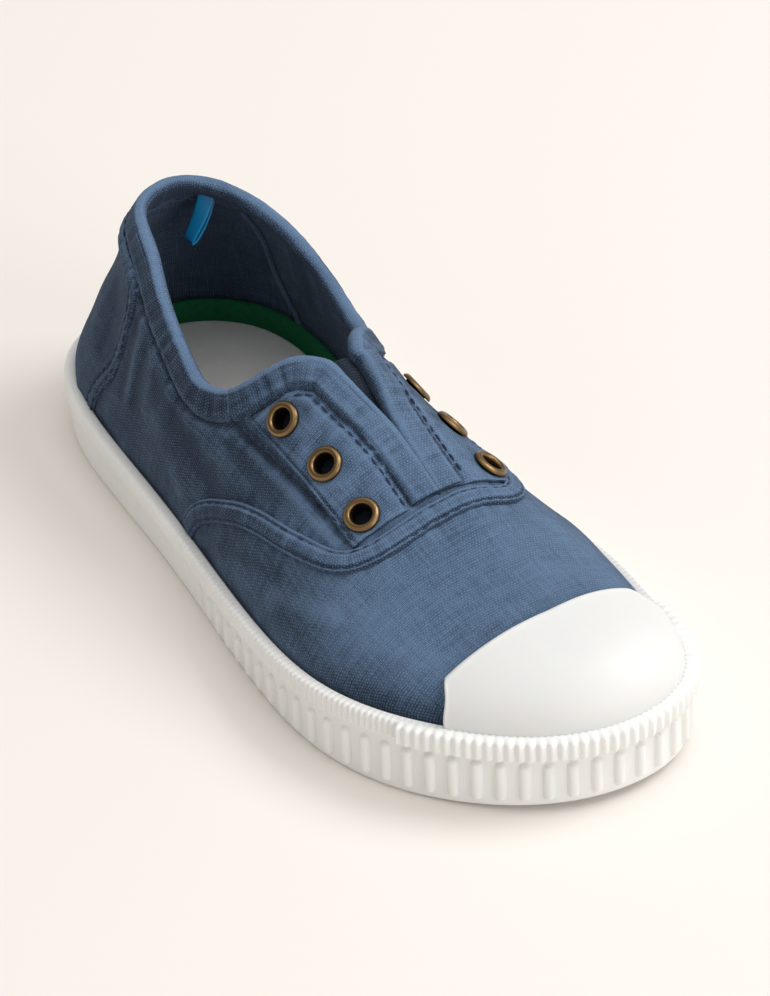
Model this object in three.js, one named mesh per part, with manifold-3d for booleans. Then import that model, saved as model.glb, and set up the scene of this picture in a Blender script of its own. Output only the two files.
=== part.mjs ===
// Child's canvas slip-on sneaker, right foot, in millimetres.
// +X points to the toe, +Y to the inner (big toe) side, +Z up; the floor is z = 0.
import * as THREE from 'three';
import { mergeVertices } from 'three/addons/utils/BufferGeometryUtils.js';
import Module from 'manifold-3d';

const wasm = await Module();
wasm.setup();

// Main sizes of the shoe
const SHOE_LENGTH = 172;
const BALL_WIDTH = 72;
const HEEL_HEIGHT = 54;
const INSTEP_HEIGHT = 54;
const FOXING_HEIGHT = 18.6;

// Sole
const OUTSOLE_THICKNESS = 6.5;
const ARCH_RELIEF = 1.2;
const ARCH_FROM = 0.33;
const ARCH_TO = 0.53;
const TOE_SPRING = 2.2;
const FOXING_THICKNESS = 2.8;
const TRIM_PROUD = 0.7;
const TRIM_HEIGHT = 4.4;
const RIB_PITCH = 4.7;
const RIB_RADIUS = 1.15;
const RIB_PROUD = 0.75;
const RIB_FOOT = 2.2;
const RIB_HEAD = 1.6;
const RIBS_FROM = 0.42;
const BUMPER_HEIGHT = 5;
const BUMPER_THICKNESS = 1.1;
const BUMPER_FROM = 0.845;

// Upper and what is sewn to it
const CANVAS_WALL = 2;
const OVERLAY_THICKNESS = 0.9;
const HEM_WIDTH = 5.5;
const VAMP_BAND_WIDTH = 4.9;
const CAP_THICKNESS = 1.1;
const GUSSET_THICKNESS = 1.2;
const THROAT_GAP = 8.4;
const GUSSET_WIDTH = 22;
const GUSSET_BACK = 0.475;
const GUSSET_FRONT = 0.69;

// Insole
const INSOLE_THICKNESS = 2.6;
const INSOLE_RIM_HEIGHT = 5.5;
const INSOLE_RIM_THICKNESS = 1.4;
const COVER_THICKNESS = 1;

// Eyelets
const EYELET_RADIUS = 3.7;
const EYELET_HOLE_RADIUS = 2.15;
const EYELET_WALL = 0.45;
const EYELET_RIM = 0.8;

// Heel loop
const LOOP_WIDTH = 5;
const LOOP_LENGTH = 8;
const LOOP_DROP = 4;
const LOOP_SIDE = 2;
const LOOP_THICKNESS = 0.8;

// Clearance between neighbours, and what follows from it
const GAP = 0.3;
const FEATHER_HEIGHT = OUTSOLE_THICKNESS + GAP;
const UPPER_INSET = FOXING_THICKNESS + GAP;

// How finely curved pieces are divided
const TURN_STEPS = 52;
const RISE_STEPS = 8;
const BAND_STEPS = 14;
const SHORT_BAND_STEPS = 12;
const HEM_STEPS = 24;
const TOP_LINE_STEPS = 28;
const RIBBON_STEPS = 16;
const EDGE_STEPS = 6;
const RIB_SIDES = 6;
const EYELET_SIDES = 12;
const RIB_SEARCH_STEPS = 720;

// How far cutting forms run past the shoe, as shares of its length or in millimetres
const PAST_HEEL = -0.1;
const PAST_TOE = 1.1;
const MARGIN = 1;
const REACH = BALL_WIDTH;
const SKY = 2 * INSTEP_HEIGHT;

// Small steps: to measure a slope, to weld corners, and to end a search
const SLOPE_ANGLE = 0.01;
const SLOPE_SHARE = 0.002;
const WELD_DISTANCE = 1e-4;
const FIRST_SEARCH_STEP = 0.1;
const LAST_SEARCH_STEP = 1e-5;
const HIGHEST_SEAT = 0.99;

// Sole outline seen from above. "at" runs from heel to toe as a share of the length,
// the other columns are shares of the ball width from the centre line.
const OUTLINE = [
  { at: 0, outer: 0.01, inner: -0.01 },
  { at: 0.03, outer: 0.252, inner: 0.219 },
  { at: 0.1, outer: 0.364, inner: 0.358 },
  { at: 0.2, outer: 0.406, inner: 0.399 },
  { at: 0.35, outer: 0.441, inner: 0.362 },
  { at: 0.5, outer: 0.492, inner: 0.365 },
  { at: 0.62, outer: 0.529, inner: 0.413 },
  { at: 0.72, outer: 0.531, inner: 0.44 },
  { at: 0.82, outer: 0.465, inner: 0.418 },
  { at: 0.9, outer: 0.344, inner: 0.39 },
  { at: 0.965, outer: 0.175, inner: 0.312 },
  { at: 1, outer: -0.09, inner: 0.09 },
];

// Ridge line along the top of the upper: height as a share of the instep height,
// sideways place as a share of the ball width, and how full the sections are.
const RIDGE = [
  { at: 0.17, height: 1.22, side: 0, fullness: 1.62 },
  { at: 0.3, height: 1.16, side: 0, fullness: 1.7 },
  { at: 0.42, height: 1.07, side: 0, fullness: 1.6 },
  { at: 0.48, height: 1, side: 0, fullness: 1.5 },
  { at: 0.58, height: 0.845, side: 0, fullness: 1.55 },
  { at: 0.67, height: 0.7, side: 0.005, fullness: 1.65 },
  { at: 0.78, height: 0.59, side: 0.015, fullness: 1.8 },
  { at: 0.9, height: 0.52, side: 0.04, fullness: 2 },
];

// Top line of the upper seen from the side, as shares of length and heel height:
// the inner side stands a little higher than the outer side.
const TOP_LINE = [
  { at: -0.05, outer: 1, inner: 1 },
  { at: 0.07, outer: 1, inner: 1 },
  { at: 0.14, outer: 0.985, inner: 0.988 },
  { at: 0.18, outer: 0.962, inner: 0.97 },
  { at: 0.215, outer: 0.91, inner: 0.933 },
  { at: 0.25, outer: 0.85, inner: 0.885 },
  { at: 0.285, outer: 0.8, inner: 0.84 },
  { at: 0.32, outer: 0.755, inner: 0.8 },
  { at: 0.35, outer: 0.73, inner: 0.772 },
  { at: 0.375, outer: 0.742, inner: 0.77 },
  { at: 0.405, outer: 0.79, inner: 0.803 },
  { at: 0.425, outer: 0.86, inner: 0.862 },
  { at: 0.44, outer: 0.92, inner: 0.92 },
  { at: 0.458, outer: 0.952, inner: 0.952 },
  { at: 0.48, outer: 0.962, inner: 0.962 },
  { at: 0.52, outer: 0.97, inner: 0.97 },
];

// Half opening of the throat along the length, as a share of the throat gap
const THROAT = [
  { at: 0.485, half: 0.5 },
  { at: 0.52, half: 0.38 },
  { at: 0.565, half: 0.19 },
  { at: 0.61, half: 0.09 },
  { at: 0.665, half: 0.06 },
];
const THROAT_END = THROAT[THROAT.length - 1].at;

// Middle line of the folded band across the vamp, seen from the side, as shares of
// length and instep height: up from the sole, forward, then over the foot.
const VAMP_BAND = [
  { at: 0.402, height: 0.2 },
  { at: 0.412, height: 0.324 },
  { at: 0.445, height: 0.413 },
  { at: 0.488, height: 0.487 },
  { at: 0.535, height: 0.53 },
  { at: 0.581, height: 0.552 },
  { at: 0.628, height: 0.563 },
  { at: 0.66, height: 0.581 },
  { at: 0.679, height: 0.633 },
  { at: 0.682, height: 0.704 },
  { at: 0.68, height: 1.2 },
];

// Front edge of the heel counter and back edge of the toe cap, seen from the side
const COUNTER_EDGE = [
  { at: 0.148, height: 0.15 },
  { at: 0.162, height: 0.28 },
  { at: 0.178, height: 0.38 },
  { at: 0.192, height: 0.52 },
  { at: 0.197, height: 0.66 },
  { at: 0.195, height: 1.2 },
];
const CAP_EDGE = [
  { at: 0.885, height: 0.2 },
  { at: 0.878, height: 0.33 },
  { at: 0.864, height: 0.41 },
  { at: 0.853, height: 0.475 },
  { at: 0.848, height: 0.53 },
  { at: 0.846, height: 0.75 },
];

// Eyelets on each side of the throat: along the length and out from the middle
const EYELETS = [
  { at: 0.482, side: 0.205 },
  { at: 0.561, side: 0.197 },
  { at: 0.634, side: 0.2 },
];
const EYESTAY_SIDE = 0.275;
const EYESTAY_BACK = 0.4;

// Upper edge of the foxing as a share of its height, and height of the sole's underside
// as a share of the toe spring, along the length
const FOXING = [
  { at: 0, top: 0.79, under: 0.25 },
  { at: 0.05, top: 0.76, under: 0 },
  { at: 0.3, top: 0.7, under: 0 },
  { at: 0.5, top: 0.73, under: 0 },
  { at: 0.75, top: 0.9, under: 0 },
  { at: 0.87, top: 0.98, under: 0.15 },
  { at: 1, top: 1.0, under: 1.0 },
];

// Curves through the tables

function smoothCurve(knots, values) {
  const count = knots.length;
  const bend = new Array(count).fill(0);
  const carry = new Array(count).fill(0);
  for (let i = 1; i < count - 1; i += 1) {
    const before = knots[i] - knots[i - 1];
    const after = knots[i + 1] - knots[i];
    const share = before / (before + after);
    const pivot = share * bend[i - 1] + 2;
    bend[i] = (share - 1) / pivot;
    const slopes = (values[i + 1] - values[i]) / after - (values[i] - values[i - 1]) / before;
    carry[i] = (6 * slopes / (before + after) - share * carry[i - 1]) / pivot;
  }
  const curl = new Array(count).fill(0);
  for (let i = count - 2; i >= 0; i -= 1) {
    curl[i] = bend[i] * curl[i + 1] + carry[i];
  }
  return (place) => {
    const inside = Math.min(Math.max(place, knots[0]), knots[count - 1]);
    let i = 0;
    while (i < count - 2 && inside > knots[i + 1]) {
      i += 1;
    }
    const step = knots[i + 1] - knots[i];
    const a = (knots[i + 1] - inside) / step;
    const b = (inside - knots[i]) / step;
    const cubic = ((a * a * a - a) * curl[i] + (b * b * b - b) * curl[i + 1]) * step * step / 6;
    return a * values[i] + b * values[i + 1] + cubic;
  };
}

function column(table, name) {
  return smoothCurve(table.map((row) => row.at), table.map((row) => row[name]));
}

const RIDGE_FROM = RIDGE[0].at;
const RIDGE_TO = RIDGE[RIDGE.length - 1].at;
const ridgeHeight = column(RIDGE, 'height');
const ridgeSide = column(RIDGE, 'side');
const ridgeFullness = column(RIDGE, 'fullness');
const topLine = { outer: column(TOP_LINE, 'outer'), inner: column(TOP_LINE, 'inner') };
const TOP_LINE_FROM = TOP_LINE[0].at;
const TOP_LINE_TO = TOP_LINE[TOP_LINE.length - 1].at;
const soleTop = column(FOXING, 'top');
const soleUnder = column(FOXING, 'under');

const sideTop = (share) => FOXING_HEIGHT * soleTop(share);
const sideFoot = (share) => TOE_SPRING * Math.max(soleUnder(share), 0);
const alongX = (share) => (share - 0.5) * SHOE_LENGTH;
const shareAt = (x) => x / SHOE_LENGTH + 0.5;

// The outline as one closed curve: the angle starts at the heel and goes by the outer side
const angleOf = (share) => Math.acos(1 - 2 * share);
const outerRows = OUTLINE.map((row) => [angleOf(row.at), -row.outer]);
const innerRows = OUTLINE.map((row) => [2 * Math.PI - angleOf(row.at), row.inner]);
const oneTurn = [...outerRows, ...innerRows.slice(1, -1).reverse()];
const shifted = (turns) => oneTurn.map(([angle, side]) => [angle + turns * 2 * Math.PI, side]);
const allTurns = [...shifted(-1), ...oneTurn, ...shifted(1)];
const outlineSide = smoothCurve(allTurns.map((row) => row[0]), allTurns.map((row) => row[1]));

function outlinePoint(turn, inset = 0) {
  const at = (angle) => new THREE.Vector2(
    -SHOE_LENGTH / 2 * Math.cos(angle),
    BALL_WIDTH * outlineSide(angle),
  );
  const angle = turn * 2 * Math.PI;
  const along = at(angle + SLOPE_ANGLE).sub(at(angle - SLOPE_ANGLE)).normalize();
  const point = at(angle);
  return new THREE.Vector2(point.x - along.y * inset, point.y + along.x * inset);
}

function outlineShape(inset) {
  const points = [];
  for (let i = 0; i < TURN_STEPS; i += 1) {
    points.push(outlinePoint(i / TURN_STEPS, inset));
  }
  return new THREE.Shape(points);
}

// The last: the form inside the upper. "turn" goes round the outline, "rise" from the
// feather line (0) to the ridge (1), and below 0 straight down.
function lastSurface(turn, rise) {
  const foot = outlinePoint(turn, UPPER_INSET);
  const middle = (1 - Math.cos(turn * 2 * Math.PI)) / 2;
  const ridgeShare = RIDGE_FROM + (RIDGE_TO - RIDGE_FROM) * middle;
  const ridgeX = alongX(ridgeShare);
  const ridgeY = BALL_WIDTH * ridgeSide(ridgeShare);
  const ridgeZ = INSTEP_HEIGHT * ridgeHeight(ridgeShare);
  const wallTop = sideTop(middle) - GAP;
  const power = 2 / ridgeFullness(ridgeShare);
  const angle = Math.max(rise, 0) * Math.PI / 2;
  const out = Math.max(Math.cos(angle), 0) ** power;
  const up = Math.sin(angle) ** power;
  return new THREE.Vector3(
    ridgeX + (foot.x - ridgeX) * out,
    ridgeY + (foot.y - ridgeY) * out,
    wallTop + (ridgeZ - wallTop) * up + Math.min(rise, 0) * 2 * wallTop,
  );
}

function lastNormal(turn, rise) {
  const step = SLOPE_SHARE;
  if (rise > 1 - step) {
    const ridge = lastSurface(turn + step, 1).sub(lastSurface(turn - step, 1));
    const slope = ridge.x === 0 ? 0 : ridge.z / ridge.x;
    return new THREE.Vector3(-slope, 0, 1).normalize();
  }
  const along = lastSurface(turn + step, rise).sub(lastSurface(turn - step, rise));
  const lift = lastSurface(turn, Math.max(rise, 0) + step).sub(lastSurface(turn, Math.max(rise, 0)));
  return along.cross(lift).normalize();
}

function lastPoint(turn, rise, offset) {
  return lastSurface(turn, rise).addScaledVector(lastNormal(turn, rise), offset);
}

// Solids

function toSolid(geometry) {
  const bare = geometry.index ? geometry.toNonIndexed() : geometry.clone();
  bare.deleteAttribute('normal');
  bare.deleteAttribute('uv');
  const welded = mergeVertices(bare, WELD_DISTANCE);
  const index = Array.from(welded.index.array);
  const kept = [];
  for (let i = 0; i < index.length; i += 3) {
    const [a, b, c] = index.slice(i, i + 3);
    if (a !== b && b !== c && c !== a) {
      kept.push(a, b, c);
    }
  }
  return new wasm.Manifold(new wasm.Mesh({
    numProp: 3,
    vertProperties: new Float32Array(welded.attributes.position.array),
    triVerts: new Uint32Array(kept),
  }));
}

function toGeometry(solid) {
  const mesh = solid.getMesh();
  const geometry = new THREE.BufferGeometry();
  geometry.setAttribute('position', new THREE.BufferAttribute(new Float32Array(mesh.vertProperties), 3));
  geometry.setIndex(new THREE.BufferAttribute(new Uint32Array(mesh.triVerts), 1));
  geometry.computeVertexNormals();
  return geometry;
}

function prismUp(shape, low, high) {
  const geometry = new THREE.ExtrudeGeometry(shape, { depth: high - low, bevelEnabled: false });
  return toSolid(geometry.translate(0, 0, low));
}

// A shape drawn in X and Z, extruded across the shoe
function prismAcross(shape, right = -REACH, left = REACH) {
  const geometry = new THREE.ExtrudeGeometry(shape, { depth: left - right, bevelEnabled: false });
  return toSolid(geometry.rotateX(Math.PI / 2).translate(0, left, 0));
}

function box(low, high) {
  const geometry = new THREE.BoxGeometry(high[0] - low[0], high[1] - low[1], high[2] - low[2]);
  return toSolid(geometry.translate(
    (low[0] + high[0]) / 2, (low[1] + high[1]) / 2, (low[2] + high[2]) / 2,
  ));
}

const lastSolids = new Map();
function last(offset) {
  if (!lastSolids.has(offset)) {
    const rises = [-1];
    for (let i = 0; i <= RISE_STEPS; i += 1) {
      rises.push(i / RISE_STEPS);
    }
    const positions = [];
    const rings = rises.map((rise) => {
      const ring = [];
      for (let i = 0; i < TURN_STEPS; i += 1) {
        ring.push(lastPoint(i / TURN_STEPS, rise, offset));
      }
      return ring;
    });
    const triangle = (a, b, c) => positions.push(...a.toArray(), ...b.toArray(), ...c.toArray());
    const floorPoint = new THREE.Vector3(0, 0, rings[0][0].z);
    for (let i = 0; i < TURN_STEPS; i += 1) {
      const next = (i + 1) % TURN_STEPS;
      triangle(floorPoint, rings[0][next], rings[0][i]);
      for (let j = 0; j < rings.length - 1; j += 1) {
        triangle(rings[j][i], rings[j][next], rings[j + 1][next]);
        triangle(rings[j][i], rings[j + 1][next], rings[j + 1][i]);
      }
    }
    const geometry = new THREE.BufferGeometry();
    geometry.setAttribute('position', new THREE.Float32BufferAttribute(positions, 3));
    lastSolids.set(offset, toSolid(geometry));
  }
  return lastSolids.get(offset);
}

const shell = (inside, outside) => last(outside).subtract(last(inside));

// Side-view band between two heights that follow the length
function bandShape(low, high, from, to, steps) {
  const lower = [];
  const upper = [];
  for (let i = 0; i <= steps; i += 1) {
    const share = from + (to - from) * i / steps;
    lower.push(new THREE.Vector2(alongX(share), low(share)));
    upper.push(new THREE.Vector2(alongX(share), high(share)));
  }
  return new THREE.Shape([...lower, ...upper.reverse()]);
}

function sideBand(low, high, from = PAST_HEEL, to = PAST_TOE, steps = BAND_STEPS) {
  return prismAcross(bandShape(low, high, from, to, steps));
}

// A form of two halves, each drawn for its own side of the shoe
function bothSides(shapeOf) {
  return prismAcross(shapeOf('outer'), -REACH, 0).add(prismAcross(shapeOf('inner'), 0, REACH));
}

// Outsole
const outsoleBlock = prismUp(outlineShape(UPPER_INSET), 0, OUTSOLE_THICKNESS);
const archHollow = sideBand(
  () => -MARGIN,
  (share) => ARCH_RELIEF * Math.sin(Math.PI * (share - ARCH_FROM) / (ARCH_TO - ARCH_FROM)),
  ARCH_FROM, ARCH_TO, SHORT_BAND_STEPS,
);
const outsole = outsoleBlock
  .intersect(sideBand(sideFoot, () => 2 * OUTSOLE_THICKNESS))
  .subtract(archHollow);

// Foxing: the rubber strip round the sole, with its trim as a step, and its ribs
function ribs() {
  const rows = [];
  let travelled = 0;
  let before = outlinePoint(0, TRIM_PROUD);
  for (let i = 1; i <= RIB_SEARCH_STEPS; i += 1) {
    const turn = i / RIB_SEARCH_STEPS;
    const point = outlinePoint(turn, TRIM_PROUD);
    travelled += point.distanceTo(before);
    before = point;
    const share = shareAt(point.x);
    if (travelled < RIB_PITCH) {
      continue;
    }
    travelled -= RIB_PITCH;
    if (share > RIBS_FROM) {
      rows.push({ turn, share });
    }
  }
  return rows.map(({ turn, share }) => {
    const low = sideFoot(share) + RIB_FOOT;
    const high = sideTop(share) - TRIM_HEIGHT - RIB_HEAD;
    const seat = outlinePoint(turn, TRIM_PROUD + RIB_RADIUS - RIB_PROUD);
    const rib = new THREE.CylinderGeometry(RIB_RADIUS, RIB_RADIUS, high - low, RIB_SIDES);
    return toSolid(rib.rotateX(Math.PI / 2).translate(seat.x, seat.y, (low + high) / 2));
  });
}

const sideWall = prismUp(outlineShape(TRIM_PROUD), -MARGIN, FOXING_HEIGHT + MARGIN)
  .intersect(sideBand(sideFoot, (share) => sideTop(share) - TRIM_HEIGHT / 2));
const trimStep = prismUp(outlineShape(0), 0, FOXING_HEIGHT + MARGIN)
  .intersect(sideBand((share) => sideTop(share) - TRIM_HEIGHT, sideTop));
const foxing = ribs()
  .reduce((joined, rib) => joined.add(rib), sideWall.add(trimStep))
  .subtract(last(GAP));

// Toe bumper: the second, coarser strip of trim round the toe
const bumperPlot = sideBand(
  (share) => sideTop(share) - BUMPER_HEIGHT, sideTop, BUMPER_FROM, PAST_TOE, SHORT_BAND_STEPS,
);
const toeBumper = prismUp(outlineShape(-BUMPER_THICKNESS - GAP), 0, FOXING_HEIGHT + MARGIN)
  .subtract(prismUp(outlineShape(-GAP), -MARGIN, FOXING_HEIGHT + 2 * MARGIN))
  .intersect(bumperPlot);

// Openings of the upper
const collarOpening = bothSides((side) => bandShape(
  (share) => HEEL_HEIGHT * topLine[side](share), () => 2 * HEEL_HEIGHT,
  TOP_LINE_FROM, TOP_LINE_TO, TOP_LINE_STEPS,
));
const throatEdge = (side) => THROAT.map(
  (row) => new THREE.Vector2(alongX(row.at), side * row.half * THROAT_GAP),
);
const throatShape = new THREE.Shape([...throatEdge(-1), ...throatEdge(1).reverse()]);
const throatOpening = prismUp(throatShape, FEATHER_HEIGHT, SKY);
const slab = (low, high) => box([-SHOE_LENGTH, -REACH, low], [SHOE_LENGTH, REACH, high]);

// The place on the last above a point of the plan, found by smaller and smaller steps
function placeOnLast(x, y) {
  const miss = (turn, rise) => {
    const point = lastSurface(turn, rise);
    return (point.x - x) ** 2 + (point.y - y) ** 2;
  };
  let best = { turn: y < 0 ? 0.25 : 0.75, rise: 0.5 };
  let step = FIRST_SEARCH_STEP;
  while (step > LAST_SEARCH_STEP) {
    const around = [[step, 0], [-step, 0], [0, step], [0, -step]].map(
      ([turn, rise]) => ({ turn: best.turn + turn, rise: Math.min(best.rise + rise, HIGHEST_SEAT) }),
    );
    const nearest = around.sort((a, b) => miss(a.turn, a.rise) - miss(b.turn, b.rise))[0];
    if (miss(nearest.turn, nearest.rise) < miss(best.turn, best.rise)) {
      best = nearest;
    } else {
      step /= 2;
    }
  }
  return {
    point: lastPoint(best.turn, best.rise, 0),
    normal: lastNormal(best.turn, best.rise),
  };
}

function stand(geometry, seat, lift) {
  const turn = new THREE.Quaternion().setFromUnitVectors(new THREE.Vector3(0, 0, 1), seat.normal);
  const place = seat.point.clone().addScaledVector(seat.normal, lift);
  return geometry.applyQuaternion(turn).translate(place.x, place.y, place.z);
}

const seats = [];
for (const [word, side] of [['outer', -1], ['inner', 1]]) {
  EYELETS.forEach((row, i) => {
    const seat = placeOnLast(alongX(row.at), side * row.side * BALL_WIDTH);
    seats.push({ name: `eyelet_${word}_${i + 1}`, ...seat });
  });
}
const EYELET_BARREL_RADIUS = EYELET_HOLE_RADIUS + EYELET_WALL;
const EYELET_BORE_RADIUS = EYELET_BARREL_RADIUS + GAP;
const EYELET_BORE_DEPTH = 2 * (CANVAS_WALL + OVERLAY_THICKNESS + MARGIN);
const eyeletHoles = seats.map((seat) => {
  const bore = new THREE.CylinderGeometry(
    EYELET_BORE_RADIUS, EYELET_BORE_RADIUS, EYELET_BORE_DEPTH, EYELET_SIDES,
  );
  return toSolid(stand(bore.rotateX(Math.PI / 2), seat, 0));
});
const cutHoles = (solid) => eyeletHoles.reduce((left, hole) => left.subtract(hole), solid);

// Upper
const upper = cutHoles(shell(-CANVAS_WALL, 0)
  .intersect(slab(FEATHER_HEIGHT, SKY))
  .subtract(collarOpening)
  .subtract(throatOpening));

// Overlays sewn on the outside of the upper
function sidePoints(table) {
  return table.map((row) => new THREE.Vector2(alongX(row.at), INSTEP_HEIGHT * row.height));
}

function ribbon(table, width) {
  const curve = new THREE.SplineCurve(sidePoints(table));
  const left = [];
  const right = [];
  for (let i = 0; i <= RIBBON_STEPS; i += 1) {
    const point = curve.getPoint(i / RIBBON_STEPS);
    const along = curve.getTangent(i / RIBBON_STEPS);
    const across = new THREE.Vector2(-along.y, along.x).multiplyScalar(width / 2);
    left.push(point.clone().add(across));
    right.push(point.clone().sub(across));
  }
  return prismAcross(new THREE.Shape([...left, ...right.reverse()]));
}

function sidePart(table, endX) {
  const edge = new THREE.SplineCurve(sidePoints(table)).getPoints(EDGE_STEPS);
  const top = edge[edge.length - 1];
  return prismAcross(new THREE.Shape([
    ...edge, new THREE.Vector2(endX, top.y), new THREE.Vector2(endX, edge[0].y),
  ]));
}

const aboveSole = sideBand((share) => sideTop(share) + GAP, () => SKY);
const skin = shell(GAP, GAP + OVERLAY_THICKNESS)
  .intersect(aboveSole)
  .subtract(collarOpening)
  .subtract(throatOpening);

const hemRegion = bothSides((side) => bandShape(
  (share) => HEEL_HEIGHT * topLine[side](share) - HEM_WIDTH, () => 2 * HEEL_HEIGHT,
  TOP_LINE_FROM, EYESTAY_BACK, HEM_STEPS,
));
const collarHem = skin.intersect(hemRegion);

const belowHem = bothSides((side) => bandShape(
  () => 0, (share) => HEEL_HEIGHT * topLine[side](share) - HEM_WIDTH - GAP,
  TOP_LINE_FROM, EYESTAY_BACK, HEM_STEPS,
));
const heelCounter = skin.intersect(sidePart(COUNTER_EDGE, -SHOE_LENGTH)).intersect(belowHem);

const vampBand = skin.intersect(ribbon(VAMP_BAND, VAMP_BAND_WIDTH));
const bandClearance = ribbon(VAMP_BAND, VAMP_BAND_WIDTH + 2 * GAP);

function eyestay(side) {
  const edge = side * EYESTAY_SIDE * BALL_WIDTH;
  const plot = box(
    [alongX(EYESTAY_BACK) + GAP, Math.min(edge, 0), 0],
    [alongX(THROAT_END) - GAP, Math.max(edge, 0), SKY],
  );
  return cutHoles(skin.intersect(plot).subtract(bandClearance));
}

const toeCap = shell(GAP, GAP + CAP_THICKNESS)
  .intersect(aboveSole)
  .intersect(sidePart(CAP_EDGE, SHOE_LENGTH));

// Elastic gusset under the throat
const gussetLow = -CANVAS_WALL - GAP - GUSSET_THICKNESS;
const gussetHigh = -CANVAS_WALL - GAP;
const gusset = last(gussetHigh).subtract(last(gussetLow))
  .intersect(box(
    [alongX(GUSSET_BACK), -GUSSET_WIDTH / 2, FEATHER_HEIGHT],
    [alongX(GUSSET_FRONT), GUSSET_WIDTH / 2, SKY],
  ));

// Insole with its raised rim, and the cover on it
const insoleTop = FEATHER_HEIGHT + INSOLE_THICKNESS;
const inside = last(-CANVAS_WALL - GAP);
const well = last(-CANVAS_WALL - GAP - INSOLE_RIM_THICKNESS);
const insole = inside
  .intersect(slab(FEATHER_HEIGHT, insoleTop + INSOLE_RIM_HEIGHT))
  .subtract(well.intersect(slab(insoleTop, SKY)));
const insoleCover = last(-CANVAS_WALL - 2 * GAP - INSOLE_RIM_THICKNESS)
  .intersect(slab(insoleTop + GAP, insoleTop + GAP + COVER_THICKNESS));

// Blank loop sewn inside the heel
const heelLoop = shell(-CANVAS_WALL - GAP - LOOP_THICKNESS, -CANVAS_WALL - GAP).intersect(box(
  [-SHOE_LENGTH, LOOP_SIDE, HEEL_HEIGHT - LOOP_DROP - LOOP_LENGTH],
  [alongX(RIDGE_FROM), LOOP_SIDE + LOOP_WIDTH, HEEL_HEIGHT - LOOP_DROP],
));

// Eyelets: a turned brass ring with a barrel through canvas and eyestay
function eyeletGeometry() {
  const seatHeight = GAP + OVERLAY_THICKNESS + GAP;
  const barrel = EYELET_BARREL_RADIUS;
  const rim = [
    [EYELET_HOLE_RADIUS, -CANVAS_WALL],
    [barrel, -CANVAS_WALL],
    [barrel, seatHeight],
    [EYELET_RADIUS, seatHeight],
    [(EYELET_RADIUS + barrel) / 2, seatHeight + EYELET_RIM],
    [EYELET_HOLE_RADIUS, seatHeight + EYELET_RIM / 2],
  ].map(([radius, height]) => new THREE.Vector2(radius, height));
  rim.push(rim[0].clone());
  return new THREE.LatheGeometry(rim, EYELET_SIDES).rotateX(Math.PI / 2);
}

const object = new THREE.Group();

const canvas = new THREE.MeshStandardMaterial({ color: 0x40597c, roughness: 0.95, metalness: 0 });
const trim = new THREE.MeshStandardMaterial({ color: 0x3a5273, roughness: 0.95, metalness: 0 });
const elastic = new THREE.MeshStandardMaterial({ color: 0x222c3d, roughness: 0.95, metalness: 0 });
const rubber = new THREE.MeshStandardMaterial({ color: 0xeeeeea, roughness: 0.6, metalness: 0 });
const foam = new THREE.MeshStandardMaterial({ color: 0x0a5a35, roughness: 0.9, metalness: 0 });
const lining = new THREE.MeshStandardMaterial({ color: 0xd8d8d2, roughness: 0.9, metalness: 0 });
const ribbonBlue = new THREE.MeshStandardMaterial({ color: 0x1c78b4, roughness: 0.6, metalness: 0 });
const brass = new THREE.MeshStandardMaterial({ color: 0x7a5a35, roughness: 0.35, metalness: 1 });

function put(name, geometry, material) {
  const mesh = new THREE.Mesh(geometry, material);
  mesh.name = name;
  object.add(mesh);
}

put('outsole', toGeometry(outsole), rubber);
put('foxing', toGeometry(foxing), rubber);
put('toe_bumper', toGeometry(toeBumper), rubber);
put('toe_cap', toGeometry(toeCap), rubber);
put('upper', toGeometry(upper), canvas);
put('collar_hem', toGeometry(collarHem), trim);
put('heel_counter', toGeometry(heelCounter), trim);
put('vamp_band', toGeometry(vampBand), trim);
put('eyestay_outer', toGeometry(eyestay(-1)), trim);
put('eyestay_inner', toGeometry(eyestay(1)), trim);
put('gusset', toGeometry(gusset), elastic);
put('heel_loop', toGeometry(heelLoop), ribbonBlue);
put('insole', toGeometry(insole), foam);
put('insole_cover', toGeometry(insoleCover), lining);
for (const seat of seats) {
  put(seat.name, stand(eyeletGeometry(), seat, 0), brass);
}

// The origin is under the middle of the whole shoe, on the floor
const bounds = new THREE.Box3().setFromObject(object);
object.position.set(
  -(bounds.min.x + bounds.max.x) / 2,
  -(bounds.min.y + bounds.max.y) / 2,
  -bounds.min.z,
);

export default object;
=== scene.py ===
import math
from contextlib import contextmanager
import bpy
import numpy as np
from mathutils import Matrix, Vector, noise
from mathutils.bvhtree import BVHTree
from mathutils.kdtree import KDTree


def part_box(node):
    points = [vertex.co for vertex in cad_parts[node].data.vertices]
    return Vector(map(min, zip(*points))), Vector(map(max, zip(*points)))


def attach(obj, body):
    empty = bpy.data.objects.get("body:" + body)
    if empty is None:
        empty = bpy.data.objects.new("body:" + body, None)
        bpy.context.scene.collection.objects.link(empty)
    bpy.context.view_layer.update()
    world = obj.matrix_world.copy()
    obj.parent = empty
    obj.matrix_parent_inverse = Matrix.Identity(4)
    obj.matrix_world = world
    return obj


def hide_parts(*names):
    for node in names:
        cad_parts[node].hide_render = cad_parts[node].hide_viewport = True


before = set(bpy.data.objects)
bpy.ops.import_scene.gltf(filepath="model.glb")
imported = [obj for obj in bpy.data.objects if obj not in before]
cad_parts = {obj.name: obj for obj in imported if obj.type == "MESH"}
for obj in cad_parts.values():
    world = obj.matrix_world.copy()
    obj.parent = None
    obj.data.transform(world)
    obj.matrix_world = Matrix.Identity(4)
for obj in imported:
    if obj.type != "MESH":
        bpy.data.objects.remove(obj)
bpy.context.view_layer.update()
bpy.ops.object.select_all(action="DESELECT")

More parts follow.
